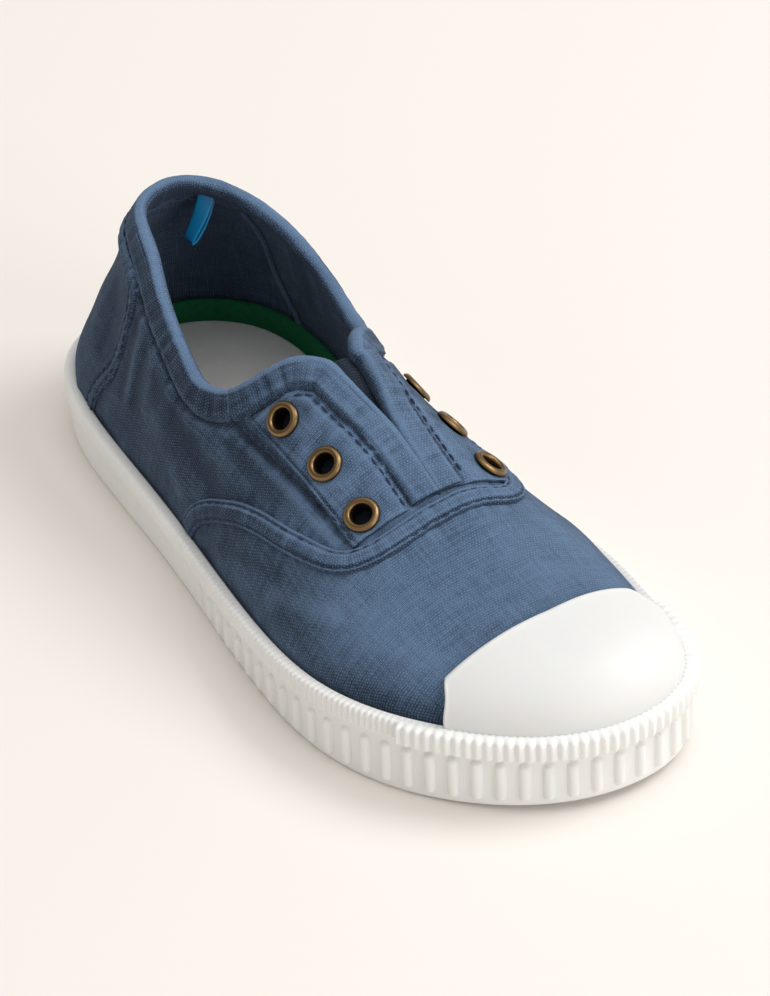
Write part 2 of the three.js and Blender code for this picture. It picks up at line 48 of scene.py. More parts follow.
# Camera
# The camera stands where the photographer stood, to the shoe's outer front, and is rolled
# a little in the same way. It looks at the middle of the one shoe.
CAMERA_PLACE = Vector((0.8184, -0.5031, 0.8078))
CAMERA_UP = Vector((-0.504, 0.3664, 0.7821))
LOOKED_AT = Vector((0.006, 0.0045, 0.0225))
CAMERA_LENS = 229
looking = (LOOKED_AT - CAMERA_PLACE).normalized()
to_right = looking.cross(CAMERA_UP).normalized()
turned = Matrix((to_right, to_right.cross(looking), -looking)).transposed()
bpy.ops.object.camera_add()
camera = bpy.context.object
camera.name = "camera"
camera.matrix_world = Matrix.Translation(CAMERA_PLACE) @ turned.to_4x4()
camera.data.lens = CAMERA_LENS
camera.data.sensor_width = 36
camera.data.clip_start = 0.01
camera.data.clip_end = 10
bpy.context.scene.camera = camera

# Floor and light
# A pale cream paper floor, a soft lamp on the inner side towards the toe, a wide one
# overhead, a low one in front of the toe, and a pale room that fills the shadows.
FLOOR_COLOUR = (0.885, 0.84, 0.79, 1)
ROOM_COLOUR = (1, 0.985, 0.96, 1)
bpy.context.scene.view_settings.view_transform = "Standard"
bpy.ops.mesh.primitive_plane_add(size=6)
floor = bpy.context.object
floor.name = "floor"
paper = bpy.data.materials.new("paper")
paper.use_nodes = True
paper.node_tree.nodes["Principled BSDF"].inputs["Base Color"].default_value = FLOOR_COLOUR
paper.node_tree.nodes["Principled BSDF"].inputs["Roughness"].default_value = 0.95
paper.node_tree.nodes["Principled BSDF"].inputs["Specular IOR Level"].default_value = 0.1
floor.data.materials.append(paper)
room = bpy.data.worlds.new("room")
room.use_nodes = True
room.node_tree.nodes["Background"].inputs["Color"].default_value = ROOM_COLOUR
room.node_tree.nodes["Background"].inputs["Strength"].default_value = 0.5
bpy.context.scene.world = room
LAMPS = {
    "key_lamp": {"place": (0.45, 0.85, 1.15), "size": 0.8, "watts": 9.5},
    "top_lamp": {"place": (0.1, 0.1, 1.6), "size": 1.8, "watts": 7.5},
    "toe_lamp": {"place": (1.3, 0.35, 0.55), "size": 0.9, "watts": 5},
}
for name, lamp in LAMPS.items():
    bpy.ops.object.light_add(type="AREA", location=lamp["place"])
    bpy.context.object.name = name
    bpy.context.object.data.shape = "DISK"
    bpy.context.object.data.size = lamp["size"]
    bpy.context.object.data.energy = lamp["watts"]
    aim = Vector(lamp["place"]).to_track_quat("Z", "Y")
    bpy.context.object.rotation_euler = aim.to_euler()

# Last
# The foot form that the shoe is built over. It isn't a piece itself, but canvas, tapes,
# cap and foxing all take their shape from it. Sizes from here on are millimetres.
MM = 0.001
SHOE_LENGTH = (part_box("foxing")[1].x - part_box("foxing")[0].x) / MM
BALL_WIDTH = 72
HEEL_HEIGHT = 54
INSTEP_HEIGHT = 54
FOXING_HEIGHT = 18.6
FOXING_THICKNESS = 2.8
OUTSOLE_THICKNESS = 6.5
TOE_SPRING = 2.2
GAP = 0.3
FEATHER_HEIGHT = OUTSOLE_THICKNESS + GAP
UPPER_INSET = FOXING_THICKNESS + GAP
OUTLINE = {
    "at": [0, 0.03, 0.1, 0.2, 0.35, 0.5, 0.62, 0.72, 0.82, 0.9, 0.965, 1],
    "outer": [0.01, 0.252, 0.364, 0.406, 0.441, 0.492, 0.529, 0.531, 0.465, 0.344, 0.175, -0.09],
    "inner": [-0.01, 0.219, 0.358, 0.399, 0.362, 0.365, 0.413, 0.44, 0.418, 0.39, 0.312, 0.09],
}
RIDGE = {
    "at": [0.17, 0.3, 0.42, 0.48, 0.58, 0.67, 0.78, 0.9],
    "height": [1.22, 1.16, 1.07, 1, 0.845, 0.7, 0.59, 0.52],
    "side": [0, 0, 0, 0, 0, 0.005, 0.015, 0.04],
    "fullness": [1.62, 1.7, 1.6, 1.5, 1.55, 1.65, 1.8, 2],
}
FOXING = {
    "at": [0, 0.05, 0.3, 0.5, 0.75, 0.87, 1],
    "top": [0.79, 0.76, 0.7, 0.73, 0.9, 0.98, 1],
    "under": [0.25, 0, 0, 0, 0, 0.15, 1],
}
TOP_LINE = {
    "at": [-0.05, 0.07, 0.14, 0.18, 0.215, 0.25, 0.285, 0.32, 0.35, 0.375, 0.405, 0.425, 0.44,
           0.458, 0.48, 0.52],
    "outer": [1, 1, 0.985, 0.962, 0.91, 0.85, 0.8, 0.755, 0.73, 0.742, 0.79, 0.86, 0.92,
              0.952, 0.962, 0.97],
    "inner": [1, 1, 0.988, 0.97, 0.933, 0.885, 0.84, 0.8, 0.772, 0.77, 0.803, 0.862, 0.92,
              0.952, 0.962, 0.97],
}
THROAT = {"at": [0.485, 0.52, 0.565, 0.61, 0.665], "half": [4.2, 3.2, 1.6, 0.76, 0.5]}


def smooth_curve(knots, values):
    """A natural cubic curve through a short table."""
    knots, values = np.array(knots, float), np.array(values, float)
    steps, count = np.diff(knots), len(knots)
    system, pull = np.eye(count), np.zeros(count)
    for i in range(1, count - 1):
        system[i, i - 1:i + 2] = steps[i - 1], 2 * (steps[i - 1] + steps[i]), steps[i]
        pull[i] = 6 * ((values[i + 1] - values[i]) / steps[i]
                       - (values[i] - values[i - 1]) / steps[i - 1])
    curl = np.linalg.solve(system, pull)

    def read(place):
        place = np.clip(place, knots[0], knots[-1])
        i = np.clip(np.searchsorted(knots, place) - 1, 0, count - 2)
        a = (knots[i + 1] - place) / steps[i]
        b = 1 - a
        bend = (a ** 3 - a) * curl[i] + (b ** 3 - b) * curl[i + 1]
        return a * values[i] + b * values[i + 1] + bend * steps[i] ** 2 / 6

    return read


def column(table, name):
    return smooth_curve(table["at"], table[name])


def along_x(share):
    return (np.asarray(share) - 0.5) * SHOE_LENGTH


def share_at(x):
    return np.asarray(x) / SHOE_LENGTH + 0.5


sole_top = column(FOXING, "top")
sole_under = column(FOXING, "under")
ridge_height, ridge_side = column(RIDGE, "height"), column(RIDGE, "side")
ridge_fullness = column(RIDGE, "fullness")
top_line_outer, top_line_inner = column(TOP_LINE, "outer"), column(TOP_LINE, "inner")
outline_angle = np.arccos(1 - 2 * np.array(OUTLINE["at"]))
one_turn = np.concatenate([outline_angle, (2 * np.pi - outline_angle)[-2:0:-1]])
one_side = np.concatenate([-np.array(OUTLINE["outer"]), np.array(OUTLINE["inner"])[-2:0:-1]])
outline_side = smooth_curve(
    np.concatenate([one_turn - 2 * np.pi, one_turn, one_turn + 2 * np.pi]), np.tile(one_side, 3))


def side_top(share):
    return FOXING_HEIGHT * sole_top(share)


def side_foot(share):
    return TOE_SPRING * np.maximum(sole_under(share), 0)


def outline_point(turn, inset=0.0):
    """The sole's outline: turn 0 is the heel, a quarter the outer side, a half the toe."""
    def at(angle):
        return np.stack([-SHOE_LENGTH / 2 * np.cos(angle), BALL_WIDTH * outline_side(angle)], -1)

    angle = np.mod(turn, 1) * 2 * np.pi
    along = at(angle + 0.01) - at(angle - 0.01)
    along /= np.linalg.norm(along, axis=-1, keepdims=True)
    inward = np.stack([-along[..., 1], along[..., 0]], -1)
    return at(angle) + inward * np.asarray(inset)[..., None]


def last_point(turn, rise):
    """The form's surface: rise 0 is the feather line, 1 the ridge, less than 0 straight down."""
    turn, rise = np.broadcast_arrays(np.asarray(turn, float), np.asarray(rise, float))
    foot = outline_point(turn, UPPER_INSET)
    middle = (1 - np.cos(turn * 2 * np.pi)) / 2
    share = RIDGE["at"][0] + (RIDGE["at"][-1] - RIDGE["at"][0]) * middle
    wall_top = side_top(middle) - GAP
    power = 2 / ridge_fullness(share)
    angle = np.maximum(rise, 0) * np.pi / 2
    out = np.maximum(np.cos(angle), 0) ** power
    up = np.sin(angle) ** power
    ridge_x, ridge_y = along_x(share), BALL_WIDTH * ridge_side(share)
    ridge_z = INSTEP_HEIGHT * ridge_height(share)
    return np.stack([
        ridge_x + (foot[..., 0] - ridge_x) * out,
        ridge_y + (foot[..., 1] - ridge_y) * out,
        wall_top + (ridge_z - wall_top) * up + np.minimum(rise, 0) * 2 * wall_top,
    ], -1)


# The shoe's own axes start on its centre line, the row's under the middle of its box
outline_ring = outline_point(np.linspace(0, 1, 2001))
ROW_SHIFT = np.array([
    (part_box("foxing")[0].x / MM - outline_ring[:, 0].min()),
    (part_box("foxing")[0].y / MM - outline_ring[:, 1].min()),
    0,
])

# Soft folds of the cloth, listed for both sides of the shoe: from one place to
# another, how wide and how high, where below zero is a trough. Places are x, y and z.
FOLDS = [
    ((-83, -8, 27), (-62, -23, 29), 9, -2.3),
    ((-82, -9, 39), (-60, -22, 39), 6.5, -2.2),
    ((-83, -6, 45.5), (-66, -20, 45.5), 5, -1.9),
    ((-84, 3, 40), (-82, 9, 40), 5, -0.8),
    ((-58, -24, 30), (-44, -25, 27), 7, -0.9),
    ((-84, 2, 30), (-80, 12, 30), 8, -1.2),
    ((-70, 22, 30), (-48, 25, 30), 8, -1.0),
    ((-50, -19, 43), (-51, -24, 24), 1.9, -0.5),
    ((-47, -20, 41), (-48.5, -24.5, 25), 1.8, 0.35),
    ((-44.5, -20.5, 38), (-46, -24.5, 24), 1.8, -0.35),
    ((-41, -21.5, 36), (-41, -25, 26), 1.8, 0.35),
    ((-62, -21, 44), (-64, -24, 26), 2.2, -0.6),
    ((-67, -18, 44), (-69.5, -21, 28), 2, 0.4),
    ((-76, -8, 44), (-79, -9, 30), 2.5, -0.5),
    ((-30, -23.5, 31), (-9, -27, 24), 3.0, -0.45),
    ((-25, -23, 33), (-3, -25, 30.5), 2.2, 0.3),
    ((-37, -24.5, 27), (-22, -28, 19), 2.5, 0.35),
    ((-2, -29.5, 20), (16, -30, 23.5), 2.4, -0.25),
    ((18, -31, 20), (34, -29, 25), 2.6, 0.35),
    ((38, -22, 31), (55, -16, 29), 5, -0.35),
    ((36, 4, 37), (56, 8, 31), 6, 0.3),
    ((1, -9, 46), (7, -20, 37), 2.0, 0.22),
    ((4.5, -8.5, 45.5), (10, -19, 37), 1.5, -0.25),
    ((14, -8, 43), (19, -19.5, 35), 1.9, 0.22),
    ((17.5, -7, 42), (22, -18, 35.5), 1.5, -0.22),
    ((-7, -12, 46), (-8, -20, 38), 1.2, 0.3),
    ((3, 9, 46), (9, 20, 37), 1.2, 0.35),
    ((15, 8, 43), (20, 19.5, 35), 1.2, -0.35),
    ((-50, 19, 43), (-52, 24, 24), 1.8, -0.6),
    ((-46, 20, 41), (-47, 24.5, 26), 1.6, 0.45),
    ((-30, 22.5, 33), (-8, 25, 26), 2.8, -0.55),
    ((-24, 22, 34), (-2, 23.5, 31), 2, 0.35),
    ((0, 27, 20), (16, 27.5, 23), 1.8, -0.35),
    ((-64, 20, 44), (-66, 23, 28), 2.2, -0.5),
    ((24, 27, 20), (40, 27, 24), 2.6, 0.3),
]


def fold_height(places):
    """How far the soft folds lift the cloth at these places."""
    lifted = np.zeros(len(places))
    for start, end, width, height in FOLDS:
        start, end = np.array(start, float), np.array(end, float)
        length = np.linalg.norm(end - start)
        share = ((places - start) @ (end - start)) / length ** 2
        nearest = start + np.clip(share, 0, 1)[:, None] * (end - start)
        away = np.linalg.norm(places - nearest, axis=1)
        beyond = np.maximum(np.abs(share - 0.5) - 0.5, 0) * length
        lifted += height * np.exp(-(away / width) ** 2 - (beyond / (2 * width)) ** 2)
    return lifted


def soft_waves(places, length, seed):
    """Gentle unevenness of hand-lasted cloth, from -1 to 1."""
    drift = Vector((seed, 2 * seed, 3 * seed))
    return np.array([noise.noise(Vector(p) / length + drift) for p in places])


def laid_sheet(name, grid, chart):
    """A sheet of cloth or rubber: a grid primitive with its corners laid on the given
    places of the shoe, and a flat chart in millimetres for its weave."""
    rows, columns = grid.shape[:2]
    bpy.ops.mesh.primitive_grid_add(x_subdivisions=columns - 1, y_subdivisions=rows - 1, size=1)
    piece = bpy.context.object
    piece.name = name
    piece.data.name = name
    places = (grid.reshape(-1, 3) + ROW_SHIFT) * MM
    piece.data.vertices.foreach_set("co", places.astype(np.float32).ravel())
    corners = np.empty(len(piece.data.loops), int)
    piece.data.loops.foreach_get("vertex_index", corners)
    layer = piece.data.uv_layers[0]
    layer.name = "weave"
    layer.uv.foreach_set("vector", chart.reshape(-1, 2)[corners].astype(np.float32).ravel())
    bpy.ops.object.shade_smooth()
    return piece


@contextmanager
def edit_mode(piece):
    """Opens one piece in edit mode, with all of it selected."""
    bpy.ops.object.select_all(action="DESELECT")
    bpy.context.view_layer.objects.active = piece
    piece.select_set(True)
    bpy.ops.object.mode_set(mode="EDIT")
    bpy.ops.mesh.select_all(action="SELECT")
    yield
    bpy.ops.object.mode_set(mode="OBJECT")
    piece.select_set(False)


def merge(piece, near):
    """Joins corners that lie this near to each other, in millimetres."""
    with edit_mode(piece):
        bpy.ops.mesh.remove_doubles(threshold=near * MM)


def close_up(piece, near):
    """Joins near corners, fills what is open and turns all faces outwards."""
    with edit_mode(piece):
        bpy.ops.mesh.remove_doubles(threshold=near * MM)
        bpy.ops.mesh.fill_holes(sides=0)
        bpy.ops.mesh.normals_make_consistent(inside=False)


def modified(piece, kind, **settings):
    """Adds one modifier, sets it and applies it."""
    bpy.context.view_layer.objects.active = piece
    piece.select_set(True)
    modifier = piece.modifiers.new(kind.lower(), kind)
    for key, value in settings.items():
        setattr(modifier, key, value)
    bpy.ops.object.modifier_apply(modifier=modifier.name)
    piece.select_set(False)


def corners_of(piece):
    places = np.empty(3 * len(piece.data.vertices), np.float32)
    piece.data.vertices.foreach_get("co", places)
    return places.reshape(-1, 3) / MM - ROW_SHIFT


def move_corners(piece, places):
    piece.data.vertices.foreach_set("co", ((places + ROW_SHIFT) * MM).astype(np.float32).ravel())
    piece.data.update()


def normals_of(piece):
    pointing = np.empty(3 * len(piece.data.vertices), np.float32)
    piece.data.vertex_normals.foreach_get("vector", pointing)
    return pointing.reshape(-1, 3).astype(float)


def neighbours_mean(piece, places):
    """For each corner, the mean place of the corners that it shares an edge with."""
    ends = np.empty(2 * len(piece.data.edges), int)
    piece.data.edges.foreach_get("vertices", ends)
    ends = ends.reshape(-1, 2)
    total, count = np.zeros_like(places), np.zeros(len(places))
    for here, there in ((0, 1), (1, 0)):
        for k in range(3):
            total[:, k] += np.bincount(ends[:, here], places[ends[:, there], k], len(places))
        count += np.bincount(ends[:, here], minlength=len(places))
    return total / np.maximum(count, 1)[:, None]


def relax(piece, share, times):
    """Evens a piece out, by a share from 0 to 1 for each corner."""
    places = corners_of(piece)
    for _ in range(times):
        places += (neighbours_mean(piece, places) - places) * share[:, None]
    move_corners(piece, places)


FORM_TURNS, FORM_RISES = 480, 76
form_turn, form_rise = np.meshgrid(
    np.linspace(0, 1, FORM_TURNS + 1), np.linspace(-0.36, 1, FORM_RISES + 1))
form = laid_sheet("form", last_point(form_turn, form_rise), np.zeros(form_turn.shape + (2,)))
with edit_mode(form):
    bpy.ops.mesh.remove_doubles(threshold=0.02 * MM)
    bpy.ops.mesh.vertices_smooth(factor=0.5, repeat=6)
form_places = corners_of(form)
ridge_shares = np.clip(share_at(form_places[:, 0]), RIDGE["at"][0], RIDGE["at"][-1])
ridge_places = np.stack([along_x(ridge_shares), BALL_WIDTH * ridge_side(ridge_shares)], -1)
from_ridge = np.linalg.norm(form_places[:, :2] - ridge_places, axis=1)
relax(form, np.exp(-(from_ridge / 5) ** 2) * (form_places[:, 2] > 20), 150)
form_places = corners_of(form)
swell = fold_height(form_places) + 0.35 * soft_waves(form_places, 17, 3)
above_feather = np.clip((form_places[:, 2] - side_top(share_at(form_places[:, 0]))) / 5, 0, 1)
in_front = np.clip((form_places[:, 0] - 56) / 6, 0, 1)
form_places += normals_of(form) * (swell * above_feather * (1 - in_front))[:, None]
move_corners(form, form_places)
form_normals = normals_of(form)
form_faces = [tuple(face.vertices) for face in form.data.polygons]
form_tree = BVHTree.FromPolygons([tuple(p) for p in form_places], form_faces)
bpy.data.objects.remove(form)


def on_form(places):
    """The nearest places on the form, and the directions away from it there."""
    flat = np.asarray(places, float).reshape(-1, 3)
    feet, ways = np.empty_like(flat), np.empty_like(flat)
    for i, place in enumerate(flat):
        foot, _, face, _ = form_tree.find_nearest(place)
        corner = list(form_faces[face])
        away = ((form_places[corner] - foot) ** 2).sum(1)
        feet[i] = foot
        ways[i] = (1 / (away + 0.02)) @ form_normals[corner]
    ways /= np.linalg.norm(ways, axis=1, keepdims=True)
    return feet.reshape(np.shape(places)), ways.reshape(np.shape(places))


def distances(places, axis=0):
    """How far each place lies along its line, where the lines run along this axis."""
    steps = np.linalg.norm(np.diff(places, axis=axis), axis=-1)
    return np.concatenate([np.zeros_like(steps.take([0], axis)), np.cumsum(steps, axis)], axis)


def evenly(line, step=None, count=None):
    """The same line with its points at even distances."""
    line = np.asarray(line, float)
    travelled = distances(line)
    count = count or max(int(round(travelled[-1] / step)), 2) + 1
    wanted = np.linspace(0, travelled[-1], count)
    return np.stack([np.interp(wanted, travelled, line[:, k]) for k in range(3)], 1)


def curve_through(points, step):
    """A smooth line through a few given places, laid on the form."""
    points = np.array(points, float)
    knots = distances(points)
    wanted = np.linspace(0, knots[-1], int(knots[-1] / step) + 2)
    line = np.stack([smooth_curve(knots, points[:, k])(wanted) for k in range(3)], 1)
    return evenly(on_form(line)[0], step)


def soften(values, times):
    """Rounds a line or a row of values off, with its ends kept."""
    values = np.array(values, float)
    for _ in range(times):
        values[1:-1] = (values[:-2] + 2 * values[1:-1] + values[2:]) / 4
    return values


def pulled_waves(travel, pitch, seed):
    """Uneven ripples along a seam, from about -1 to 1, for these distances along it."""
    ripple = [noise.noise(Vector((t / pitch, seed, 0.5))) * 1.6
              + noise.noise(Vector((t / pitch * 2.3, seed, 7.5))) * 0.5 for t in travel]
    return np.array(ripple)


def sweep(line, across, height, over_edge=False):
    """Places of a strip along a line on the form. Row i has points this far across the
    line and this high over the form; over an edge, what is before it hangs free."""
    place, way = on_form(line)
    along = np.gradient(place, axis=0)
    along = soften(along / np.linalg.norm(along, axis=1, keepdims=True), 3)
    way = soften(way, 3)
    side = np.cross(way, along)
    side /= np.linalg.norm(side, axis=1, keepdims=True)
    held = np.maximum(across, 0) if over_edge else across
    foot, up = on_form(place[:, None] + side[:, None] * held[..., None])
    free = side[:, None] * (across - held)[..., None]
    return foot + free + up * height[..., None]


def rolled(name, grid, chart):
    """A closed strip: a laid sheet whose last column meets its first, with its ends filled."""
    grid = np.concatenate([grid, grid[:, :1]], 1)
    step = np.linalg.norm(grid[:, -1] - grid[:, -2], axis=-1)
    last_chart = chart[:, -1:] + np.stack([0 * step, step], -1)[:, None]
    piece = laid_sheet(name, grid, np.concatenate([chart, last_chart], 1))
    close_up(piece, 0.004)
    return piece


def strip_chart(line, grid):
    """Distances along and round a strip, for its weave."""
    around = distances(grid[len(grid) // 2])
    return np.stack(np.meshgrid(distances(line), around, indexing="ij"), -1)


# Canvas upper
# Vamp and quarters of washed indigo canvas, with a dark cotton lining behind. The cloth is
# pulled over the last, so it ripples at each seam and keeps soft folds round the heel.
CANVAS_WALL = 1.7
CANVAS_TURNS, CANVAS_RISES = 620, 64
SEAM_STEP = 0.5
PUCKERS = {
    "hem": {"reach": 3.2, "pitch": 2.3, "height": 0.28, "trough": 0.5},
    "eyestay": {"reach": 2.2, "pitch": 2.3, "height": 0.24, "trough": 0.3},
    "band": {"reach": 2.8, "pitch": 2.1, "height": 0.3, "trough": 0},
    "counter": {"reach": 2.2, "pitch": 3.1, "height": 0.15, "trough": 0},
    "feather": {"reach": 3.0, "pitch": 5.5, "height": 0.25, "trough": 0},
}


def top_line(x, y):
    """Height at which the collar is cut, for the side of the shoe that y is on."""
    share = share_at(x)
    height = HEEL_HEIGHT * np.where(y < 0, top_line_outer(share), top_line_inner(share))
    return np.where(share > TOP_LINE["at"][-1], 2 * HEEL_HEIGHT, height)


throat_half = column(THROAT, "half")


def beyond_edge(places):
    """Above zero where the last rises through the collar or the throat."""
    x, y, z = places[..., 0], places[..., 1], places[..., 2]
    share = share_at(x)
    in_throat = (share > THROAT["at"][0]) & (share < THROAT["at"][-1])
    return np.maximum(z - top_line(x, y), np.where(in_throat, throat_half(share) - np.abs(y), -9))


def column_up(turn, stop, low=-0.3, high=1.0, samples=500):
    """One upright line of the form at a turn, from its foot to where stop gets above zero."""
    rises = np.linspace(low, high, samples)
    places = last_point(turn, rises)
    over = stop(places)
    past = np.nonzero(over > 0)[0]
    if len(past) == 0:
        return places
    i = max(past[0], 1)
    share = over[i - 1] / (over[i - 1] - over[i])
    end = places[i - 1] + (places[i] - places[i - 1]) * min(max(share, 0), 1)
    return np.concatenate([places[:i], [end]])


canvas_turn = np.linspace(0, 1, CANVAS_TURNS + 1)
canvas_grid = np.stack([evenly(column_up(turn, beyond_edge), count=CANVAS_RISES + 1)
                        for turn in canvas_turn], 1)

# The cut edge runs from the throat's point by the outer side and the heel to it again
edge_places = canvas_grid[-1]
open_part = beyond_edge(edge_places) > -0.05
first = np.nonzero(open_part & (canvas_turn < 0.5))[0][-1]
last_one = np.nonzero(open_part & (canvas_turn > 0.5))[0][0]
edge_line = np.concatenate([edge_places[first::-1], edge_places[-2:last_one - 1:-1]])
edge_line = evenly(on_form(soften(evenly(edge_line, SEAM_STEP), 14))[0], SEAM_STEP)
EYESTAY_BACK_X = -17.2
behind = np.nonzero(edge_line[:, 0] < EYESTAY_BACK_X)[0]
collar_line = edge_line[behind[0]:behind[-1] + 1]
outer_throat_line = edge_line[:behind[0] + 1]
inner_throat_line = edge_line[behind[-1]:]
HEM_WIDTH = 5.6


def from_side(points, side):
    """Places drawn in the side view, x and z, thrown onto one side of the form."""
    return [tuple(form_tree.ray_cast(Vector((x, side * 99, z)), Vector((0, -side, 0)))[0])
            for x, z in points]


def from_above(points):
    """Places drawn in the plan, x and y, dropped onto the form."""
    return [tuple(form_tree.ray_cast(Vector((x, y, 99)), Vector((0, 0, -1)))[0])
            for x, y in points]


# The band's middle line: up from the sole on one side, over the vamp and down the other
BAND_SIDE = [(-16.9, 14), (-15.1, 17.5), (-9.5, 22.3), (-2.1, 26.3), (6, 28.6), (13.9, 29.8),
             (22, 30.4), (27.5, 31.4)]
BAND_TOP = [(31.2, -13), (31.3, -5), (31.2, 1), (31.2, 7), (31, 14)]
band_line = curve_through(
    from_side(BAND_SIDE, -1) + from_above(BAND_TOP) + from_side(BAND_SIDE[::-1], 1), SEAM_STEP)
COUNTER_SIDE = [(-60.4, 12), (-58.6, 18), (-55.6, 24), (-53.2, 30), (-52.2, 37), (-52.4, 44)]
counter_lines = [curve_through(from_side(COUNTER_SIDE, side), SEAM_STEP) for side in (-1, 1)]
EYESTAY_SIDE = [(-17, -20.2), (-8, -20.1), (6, -19.9), (18, -19.5), (27, -19.2)]
eyestay_lines = [
    curve_through(from_above([(x, side * abs(y)) for x, y in EYESTAY_SIDE]), SEAM_STEP)
    for side in (-1, 1)]
hem_line = sweep(collar_line, np.full((len(collar_line), 1), HEM_WIDTH),
                 np.zeros((len(collar_line), 1)))[:, 0]
feather_turns = np.linspace(0, 1, 860)
feather_line = on_form(last_point(feather_turns, 0))[0]
SEAMS = {"hem": [hem_line], "eyestay": eyestay_lines, "band": [band_line],
         "counter": counter_lines, "feather": [feather_line]}


def rounded(inward, radius):
    """From 0 at a cut edge to 1, as a rounded edge rises over this radius."""
    return (1 - np.clip(1 - inward / radius, 0, 1) ** 2) ** 0.5


def line_tree(line):
    tree = KDTree(len(line))
    for i, point in enumerate(line):
        tree.insert(point, i)
    tree.balance()
    return tree


def in_front_of(line, places):
    """Whether places lie on the toe's side of a line that runs over the foot."""
    tree = line_tree(line)
    along = np.gradient(line, axis=0)
    side = np.cross(along, on_form(line)[1])
    found = [tree.find(place)[1] for place in places]
    return ((places - line[found]) * side[found]).sum(1) > 0


def distance_to(line, places):
    tree = line_tree(line)
    return np.array([tree.find(place)[2] for place in places])


def eyelet_pull(places):
    """The cloth is pressed down under each eyelet and puckers a little round it."""
    lifted = np.zeros(len(places))
    for number, (foot, _) in enumerate(eyelet_seats.values()):
        offset = places - foot
        away = np.linalg.norm(offset, axis=1)
        round_it = np.arctan2(offset[:, 1], offset[:, 0])
        ripple = np.cos(5 * round_it + number) + 0.7 * np.cos(3 * round_it + 2 * number)
        lifted += 0.1 * ripple * np.exp(-((away - 5) / 1.3) ** 2) - 0.2 * np.exp(-(away / 4) ** 4)
    return lifted


def seam_pull(places, seams, seed=0):
    """How far the seams ripple the cloth at these places, and how close each seam is."""
    lifted, nearness = np.zeros(len(places)), np.zeros(len(places))
    for kind in seams:
        pucker = PUCKERS[kind]
        for number, line in enumerate(SEAMS[kind]):
            tree = line_tree(line)
            found = [tree.find(place)[1:] for place in places]
            at = np.array([i for i, _ in found])
            away = np.array([distance for _, distance in found])
            travel = np.arange(len(line)) * np.linalg.norm(line[1] - line[0])
            ripple = pulled_waves(travel, pucker["pitch"], seed + 10 * number + len(kind))
            drift = (away * 0.25 * np.sin(at * 0.07)).astype(int)
            at = np.clip(at + drift, 0, len(line) - 1)
            taper = np.clip(np.minimum(at, len(line) - 1 - at) / 8, 0, 1)
            close = taper * np.exp(-(away / pucker["reach"]) ** 1.3)
            lifted += pucker["height"] * ripple[at] * close
            lifted -= taper * pucker["trough"] * np.exp(-(away / 0.8) ** 2)
            lifted += taper * 0.5 * pucker["trough"] * np.exp(-((away - 2.3) / 1.2) ** 2)
            nearness = np.maximum(nearness, np.exp(-(away / 1.3) ** 2))
    return lifted, nearness


eyelet_names = [f"eyelet_{word}_{i}" for word in ("outer", "inner") for i in (1, 2, 3)]


def eyelet_seat(name):
    """Centre and outward axis of one eyelet, in millimetres in the shoe's own axes."""
    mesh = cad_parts[name].data
    places = np.array([corner.co for corner in mesh.vertices]) / MM - ROW_SHIFT
    centre = (places.min(0) + places.max(0)) / 2
    foot, way = on_form(centre[None])
    return foot[0], way[0]


eyelet_seats = {name: eyelet_seat(name) for name in eyelet_names}
canvas_flat = canvas_grid.reshape(-1, 3)
canvas_feet, canvas_ways = on_form(canvas_flat)
canvas_lift, canvas_near = seam_pull(canvas_feet, ["hem", "eyestay", "band", "counter", "feather"])
canvas_lift += eyelet_pull(canvas_feet)
canvas_grid = (canvas_feet + canvas_ways * canvas_lift[:, None]).reshape(canvas_grid.shape)

# Weave chart: the quarters run along the sole and up, the vamp along and across the foot
climb = distances(canvas_grid)
round_foot = distances(canvas_grid[0])
to_ridge = climb[-1][None] - climb
vamp_across = np.where(canvas_turn < 0.5, -1, 1)[None] * to_ridge
vamp_along = canvas_grid[..., 0]
quarter_along = np.broadcast_to(round_foot, climb.shape)
is_vamp = in_front_of(band_line, canvas_feet).reshape(climb.shape)
weave_chart = np.stack([
    np.where(is_vamp, vamp_along, quarter_along), np.where(is_vamp, vamp_across, climb)], -1)

EYELET_BORE = 2.75


def punch(piece):
    """Punches the eyelet holes: removes the cloth inside each barrel."""
    places = corners_of(piece)
    inside = np.zeros(len(places), bool)
    for foot, way in eyelet_seats.values():
        offset = places - foot
        height = offset @ way
        inside |= (np.linalg.norm(offset - height[:, None] * way, axis=1) < EYELET_BORE) & (
            np.abs(height) < 6)
    with edit_mode(piece):
        bpy.ops.mesh.select_all(action="DESELECT")
    for vertex, out in zip(piece.data.vertices, inside):
        vertex.select = bool(out)
    bpy.context.view_layer.objects.active = piece
    bpy.ops.object.mode_set(mode="EDIT")
    bpy.ops.mesh.delete(type="VERT")
    bpy.ops.object.mode_set(mode="OBJECT")


def paint(piece, name, values):
    """Keeps one number a corner with the mesh, for its material."""
    layer = piece.data.attributes.new(name, "FLOAT", "POINT")
    values = np.broadcast_to(np.asarray(values, np.float32), len(piece.data.vertices))
    layer.data.foreach_set("value", values.copy())


# How much paler the cloth is painted where it faces up: painted light from above.
TOP_LIGHT_PAINT = 0.7


def tone_by_relief_and_top_light(piece, sunk=0.0):
    """Paler where the cloth stands proud and darker where it is sunk; what faces up is painted paler
    too, as painted light from above.
    """
    places, ways = corners_of(piece), normals_of(piece)
    smooth = places
    for _ in range(8):
        smooth = neighbours_mean(piece, smooth)
    proud = np.clip(((places - smooth) * ways).sum(1) * 2.2, -0.3, 0.3)
    # Painted light: corners that face up are made paler, as if lit from above.
    painted_top_light = np.clip((ways[:, 2] - 0.5) / 0.35, 0, 1)
    paint(piece, "tone_and_top_light", 0.85 * proud + TOP_LIGHT_PAINT * painted_top_light - 0.26)
    paint(piece, "sunk", np.clip(-proud * 0.35 + sunk, 0, 0.5))


